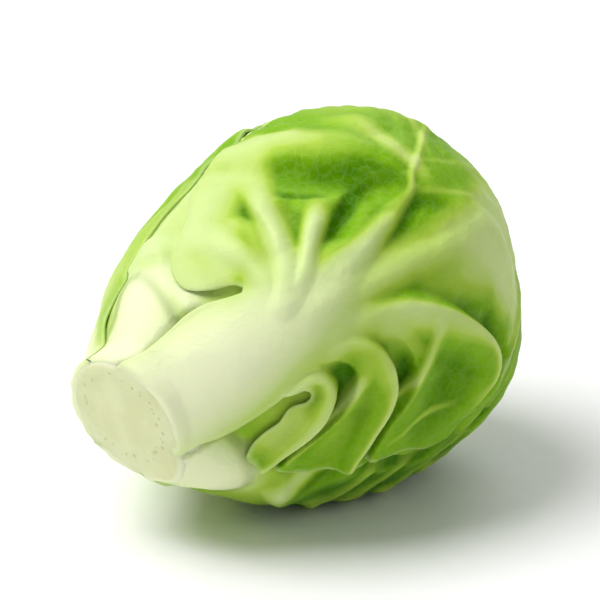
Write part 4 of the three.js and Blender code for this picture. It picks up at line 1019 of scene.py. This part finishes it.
def specks_tree(material):
    """Specks standing in a wavering ring round the Z axis, each of its own size, as one mesh."""
    tree = bpy.data.node_groups.new("vascular_ring", "GeometryNodeTree")
    inputs = {}
    for name, kind in (("Ring radius", "Float"), ("Specks", "Int"), ("Speck size", "Float"),
                       ("Waver", "Float"), ("Seed", "Int")):
        socket = tree.interface.new_socket(name, in_out="INPUT", socket_type="NodeSocket" + kind)
        inputs[name] = socket.identifier
    tree.interface.new_socket("Geometry", in_out="OUTPUT", socket_type="NodeSocketGeometry")
    given = tree.nodes.new("NodeGroupInput").outputs

    def shaped(kind, **links):
        return add_node(tree, "GeometryNode" + kind, links).outputs[0]

    def counted(kind, links, output=0, **settings):
        return add_node(tree, kind, links, **settings).outputs[output]

    def chance(offset, low, high):
        seed = counted("ShaderNodeMath", {0: given["Seed"], 1: offset}, operation="ADD")
        return counted("FunctionNodeRandomValue", {2: low, 3: high, "Seed": seed}, 1, data_type="FLOAT")

    ring = shaped("MeshCircle", Vertices=given["Specks"], Radius=given["Ring radius"])
    aside = counted("ShaderNodeCombineXYZ", {0: chance(1, -1.0, 1.0), 1: chance(2, -1.0, 1.0)})
    aside = counted("ShaderNodeVectorMath", {0: aside, "Scale": given["Waver"]}, operation="SCALE")
    ring = shaped("SetPosition", Geometry=ring, Offset=aside)
    speck = shaped("MeshIcoSphere", Radius=given["Speck size"], Subdivisions=2)
    speck = shaped("Transform", Geometry=speck, Scale=(1.0, 1.0, 0.25))
    specks = shaped("InstanceOnPoints", Points=ring, Instance=speck, Scale=chance(3, 0.35, 1.3))
    specks = shaped("SetShadeSmooth", Geometry=shaped("RealizeInstances", Geometry=specks))
    specks = shaped("SetMaterial", Geometry=specks, Material=material)
    tree.links.new(specks, tree.nodes.new("NodeGroupOutput").inputs[0])
    return tree, inputs


# ------------------------------------------------------------------ what a user may change

def length_property(name, description, default):
    return bpy.props.FloatProperty(name=name, description=description, default=default, unit="LENGTH")


def colour_property(name, description, default):
    return bpy.props.FloatVectorProperty(
        name=name, description=description, subtype="COLOR", size=4, min=0, max=1, default=(*default, 1))


class SproutSizes(bpy.types.PropertyGroup):
    head_radius: length_property("Head radius", "Half of the head's greatest width", 0.019)
    crown_reach: length_property("Crown reach", "From the head's middle to its crown", 0.0182)
    collar_radius: length_property("Collar radius", "Round the stalks where they end at the cut", 0.0069)
    cut_distance: length_property("Cut distance", "From the head's middle to the cut face", 0.0306)
    floor_distance: length_property("Floor distance", "From the head's middle down to the floor", 0.0182)
    blade_thickness: length_property("Blade thickness", "A leaf's thickness away from its ribs", 0.0005)
    leaf_gap: length_property("Leaf gap", "Clearance between a leaf and the one over it", 0.00015)
    speck_size: length_property("Speck size", "Radius of a speck in the cut face", 0.00016)


class SproutColours(bpy.types.PropertyGroup):
    blade: colour_property("Blade", "Fresh green of the blades", (0.20, 0.43, 0.004))
    young: colour_property("Young green", "Yellower green beside the ribs", (0.42, 0.60, 0.07))
    # Deep green, also the painted shade of hollows, valleys and the parts under other leaves.
    deep: colour_property("Deep green", "Green of the hollows", (0.06, 0.20, 0.0005))
    pale: colour_property("Pale green", "Colour of the ribs and margins", (0.63, 0.76, 0.34))
    ivory: colour_property("Ivory", "Colour of the stalks", (0.83, 0.87, 0.58))
    # Painted shade in creases of the green.
    crease: colour_property("Crease", "Creases in the green", (0.012, 0.045, 0.0))
    # Painted shade in creases of the ivory stalks.
    pale_crease_shade: colour_property("Pale crease", "Creases in the ivory", (0.34, 0.40, 0.07))
    cut: colour_property("Cut", "Colour of the cut stem", (0.70, 0.73, 0.40))
    speck: colour_property("Speck", "Specks in the cut face", (0.68, 0.71, 0.38))
    dark_speck: colour_property("Dark speck", "Darker parts of the specks", (0.62, 0.66, 0.31))
    board: colour_property("Board", "What the sprout lies on", (0.93, 0.93, 0.925))
    board_grain: colour_property("Board grain", "Darker grain of the board", (0.9, 0.9, 0.895))


def sizes_and_colours(context):
    return context.scene.sprout_sizes, context.scene.sprout_colours


# ------------------------------------------------------------------ the operators

def add_leaves(context, orders, material_name, paleness):
    sizes, colours = sizes_and_colours(context)
    sprout = Sprout(sizes)
    material = leaf_material(material_name, colours, paleness)
    for order in orders:
        leaf_piece(sprout, order, material)
    return {"FINISHED"}


class SPROUT_OT_wrapper_leaves(bpy.types.Operator):
    """Makes the five outermost leaves"""
    bl_idname = "sprout.wrapper_leaves"
    bl_label = "Wrapper leaves"

    def execute(self, context):
        return add_leaves(context, range(WRAPPERS), "waxy_wrapper_leaf", 0.0)


class SPROUT_OT_inner_leaves(bpy.types.Operator):
    """Makes the second whorl and the leaves that close over the crown"""
    bl_idname = "sprout.inner_leaves"
    bl_label = "Inner and crown leaves"

    def execute(self, context):
        return add_leaves(context, range(WRAPPERS, ALL_LEAVES), "tender_inner_leaf", 0.25)


class SPROUT_OT_heart(bpy.types.Operator):
    """Makes the tight heart inside the leaves"""
    bl_idname = "sprout.heart"
    bl_label = "Heart"

    def execute(self, context):
        sizes, colours = sizes_and_colours(context)
        sprout = Sprout(sizes)
        rings, spokes = 60, 96
        down = np.repeat(180 * np.arange(1, rings + 1) / (rings + 1), spokes)
        round_ = np.tile(360 * np.arange(spokes) / spokes, rings)
        d = direction(np.append([0.0, 180.0], down), np.append([0.0, 0.0], round_))
        reach = np.minimum(sprout.surface(len(sprout.leaves), d)[0], HEART_REACH)
        spiral = 1.5 * np.degrees(np.arctan2(d[:, 1], d[:, 0])) + 140 * d[:, 2]
        fold = 0.25 * np.abs(np.sin(np.radians(spiral)))
        plain = np.zeros(len(d))
        # The deep share follows the spiral folds: painted shade where the heart's skin sinks.
        look = dict(ivory=plain, pale=plain + 0.5, deep=fold * 2, rim=plain, crease=plain)
        faces = ring_faces(rings, spokes)[1]
        material = leaf_material("pale_heart_leaf", colours, 0.6)
        skin = to_part(d * (reach - fold)[:, None])
        piece = make_mesh("heart_of_young_leaves", skin, faces, look, d[:, :2], material)
        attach(piece, "root")
        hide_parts("heart")
        return {"FINISHED"}


class SPROUT_OT_stem(bpy.types.Operator):
    """Makes the cut stem, whose skin runs on into the stalks"""
    bl_idname = "sprout.stem"
    bl_label = "Cut stem"

    def execute(self, context):
        sizes, colours = sizes_and_colours(context)
        sprout = Sprout(sizes)
        spokes = 360
        turn = np.radians(360 * np.arange(spokes) / spokes)

        def neighbours(row):
            return 0.5 * row + 0.25 * (np.roll(row, 1) + np.roll(row, -1))

        # The core; its rings: how far below the cut, and their radius.
        core = [(26, 0.9), (24, 1.6), (19, 2.4), (14, 3.0), (9.5, 3.8)]
        # The skirt dives under the stalks; its rings: how far below the cut, how far inside their skin.
        skirt = [(6, 3.2), (5, 2.5), (4.2, 2), (3.5, 1.5), (2.9, 1.1), (2.4, 0.85), (2, 0.65), (1.6, 0.5)]
        # The face over their ends; its rings: how far below the cut, and a factor on its radius.
        lip = [(1.2, 1), (0.9, 1), (0.65, 0.994), (0.45, 0.982), (0.28, 0.964), (0.15, 0.942),
               (0.06, 0.915), (0.01, 0.885), (-0.02, 0.85), (-0.04, 0.8)]
        lip += [(-0.04 - 0.006 * i, 0.8 * (1 - i / 12)) for i in range(1, 12)]
        rows = sprout.collars(turn, [below for below, _ in skirt] + [1.0])
        rim = rows[-1]
        for _ in range(10):
            rim = neighbours(rim)
        rings = [(below, np.full(spokes, radius)) for below, radius in core]
        for (below, inset), row in zip(skirt, rows):
            for _ in range(2):
                row = np.minimum(row, neighbours(row))
            rings.append((below, row - inset))
        rings += [(below, (rim - 0.4) * factor) for below, factor in lip]
        points = [np.array([[0, 0, sprout.cut - CORE_END], [0, 0, sprout.cut + FACE_RISE]])]
        for below, reach in rings:
            x, y = reach * np.cos(turn), reach * np.sin(turn)
            dry = 0.03 * noise_at(zip(x, y), 0.6, 3) * (below < 0.5)
            points.append(np.stack([x, y, sprout.cut_height(y, below) + dry], -1))
        points = np.concatenate(points)
        at, faces = ring_faces(len(rings), spokes)
        skin = np.zeros(len(points))
        before = len(rings) - len(lip)
        skin[at[:before]] = 1.0
        for i, (_, factor) in enumerate(lip):
            skin[at[before + i]] = float(fade(factor, 0.9, 0.97))
        piece = make_mesh("cut_stem", to_part(points), faces[:, [0, 2, 1]], dict(skin=skin), None,
                          stem_material("moist_cut_stem", colours))
        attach(piece, "root")
        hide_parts("stem")
        return {"FINISHED"}


class SPROUT_OT_vascular_ring(bpy.types.Operator):
    """Makes the ring of specks that shows in the cut face"""
    bl_idname = "sprout.vascular_ring"
    bl_label = "Vascular ring"

    def execute(self, context):
        sizes, colours = sizes_and_colours(context)
        tree, inputs = specks_tree(speck_material("moist_vascular_speck", colours))
        holder = make_mesh("ring_holder", np.zeros((0, 3)), np.zeros((0, 3), int))
        modifier = holder.modifiers.new("vascular_ring", "NODES")
        modifier.node_group = tree
        modifier[inputs["Ring radius"]] = sizes.collar_radius * 0.68
        modifier[inputs["Specks"]] = 46
        modifier[inputs["Speck size"]] = sizes.speck_size
        modifier[inputs["Waver"]] = 0.00042
        modifier[inputs["Seed"]] = 3
        context.view_layer.update()
        mesh = bpy.data.meshes.new_from_object(holder.evaluated_get(context.evaluated_depsgraph_get()))
        holder.modifiers.remove(modifier)
        points = np.zeros(3 * len(mesh.vertices), np.float32)
        mesh.vertices.foreach_get("co", points)
        points = points.reshape(-1, 3) / MM
        if not len(points):
            raise RuntimeError("the ring of specks is empty")
        points[:, 2] += sizes.cut_distance / MM + CUT_SLOPE * points[:, 1] + CUT_MARGIN
        mesh.vertices.foreach_set("co", np.ascontiguousarray(to_part(points), np.float32).ravel())
        mesh.update()
        mesh.name = "vascular_ring"
        piece = add_object("vascular_ring", mesh)
        bpy.data.objects.remove(holder)
        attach(piece, "root")
        return {"FINISHED"}


class SPROUT_OT_stage(bpy.types.Operator):
    """Makes the floor, the lights and the camera"""
    bl_idname = "sprout.stage"
    bl_label = "Stage"

    def execute(self, context):
        scene = context.scene
        azimuth, elevation = -46 * DEGREE, 22 * DEGREE
        back = Vector((math.sin(azimuth) * math.cos(elevation), -math.cos(azimuth) * math.cos(elevation),
                       math.sin(elevation)))
        right = Vector((math.cos(azimuth), math.sin(azimuth), 0))
        up = back.cross(right)
        target = Vector(HEAD_CENTRE) * MM + right * -0.0040 + up * -0.0004

        def aimed(name, data, aim, distance):
            """Puts a lamp or camera so far from the target, looking at it."""
            holder = add_object(name, data)
            holder.location = target + aim * distance
            holder.rotation_mode = "QUATERNION"
            holder.rotation_quaternion = (-aim).to_track_quat("-Z", "Y")
            return holder

        def soft_light(name, to_right, to_top, to_front, distance, size, watts):
            lamp = bpy.data.lights.new(name, "AREA")
            lamp.shape, lamp.size, lamp.energy = "DISK", size, watts
            aimed(name, lamp, (right * to_right + up * to_top + back * to_front).normalized(), distance)

        corners = np.array([(-3, -3, 0), (3, -3, 0), (3, 3, 0), (-3, 3, 0)], float)
        board = floor_material("matt_white_board", sizes_and_colours(context)[1])
        floor = make_mesh("floor", corners, np.array([(0, 1, 2), (0, 2, 3)]), material=board)
        soft_light("key_softbox", -0.6, 0.95, 0.45, 0.6, 0.45, 3.6)
        soft_light("fill_softbox", 0.7, 0.35, 0.8, 0.8, 0.6, 0.35)
        soft_light("top_softbox", 0.2, 1.0, -0.4, 0.7, 0.5, 1.2)

        world = bpy.data.worlds.new("white_room")
        world.use_nodes = True
        sky = world.node_tree.nodes["Background"]
        sky.inputs["Color"].default_value = (1, 1, 1, 1)
        sky.inputs["Strength"].default_value = 0.36
        scene.world = world
        scene.view_settings.view_transform = "Standard"

        camera = bpy.data.cameras.new("camera")
        camera.lens, camera.sensor_width = 360, 36
        camera.clip_start, camera.clip_end = 0.01, 20
        scene.camera = aimed("camera", camera, back, 0.6)
        return {"FINISHED"}


class SPROUT_PT_panel(bpy.types.Panel):
    """Sizes, colours and the steps in order"""
    bl_label = "Brussels sprout"
    bl_idname = "SPROUT_PT_panel"
    bl_space_type = "VIEW_3D"
    bl_region_type = "UI"
    bl_category = "Sprout"

    def draw(self, context):
        for group in sizes_and_colours(context):
            for key in group.__annotations__:
                self.layout.prop(group, key)
        for step in STEPS:
            self.layout.operator(step.bl_idname)


STEPS = (SPROUT_OT_stage, SPROUT_OT_stem, SPROUT_OT_vascular_ring, SPROUT_OT_heart, SPROUT_OT_inner_leaves,
         SPROUT_OT_wrapper_leaves)
CLASSES = (SproutSizes, SproutColours) + STEPS + (SPROUT_PT_panel,)


def register():
    for cls in CLASSES:
        bpy.utils.register_class(cls)
    bpy.types.Scene.sprout_sizes = bpy.props.PointerProperty(type=SproutSizes)
    bpy.types.Scene.sprout_colours = bpy.props.PointerProperty(type=SproutColours)


def unregister():
    del bpy.types.Scene.sprout_sizes
    del bpy.types.Scene.sprout_colours
    for cls in reversed(CLASSES):
        bpy.utils.unregister_class(cls)


def main():
    register()
    for step in STEPS:
        group, name = step.bl_idname.split(".")
        getattr(getattr(bpy.ops, group), name)()


if __name__ == "__main__":
    main()
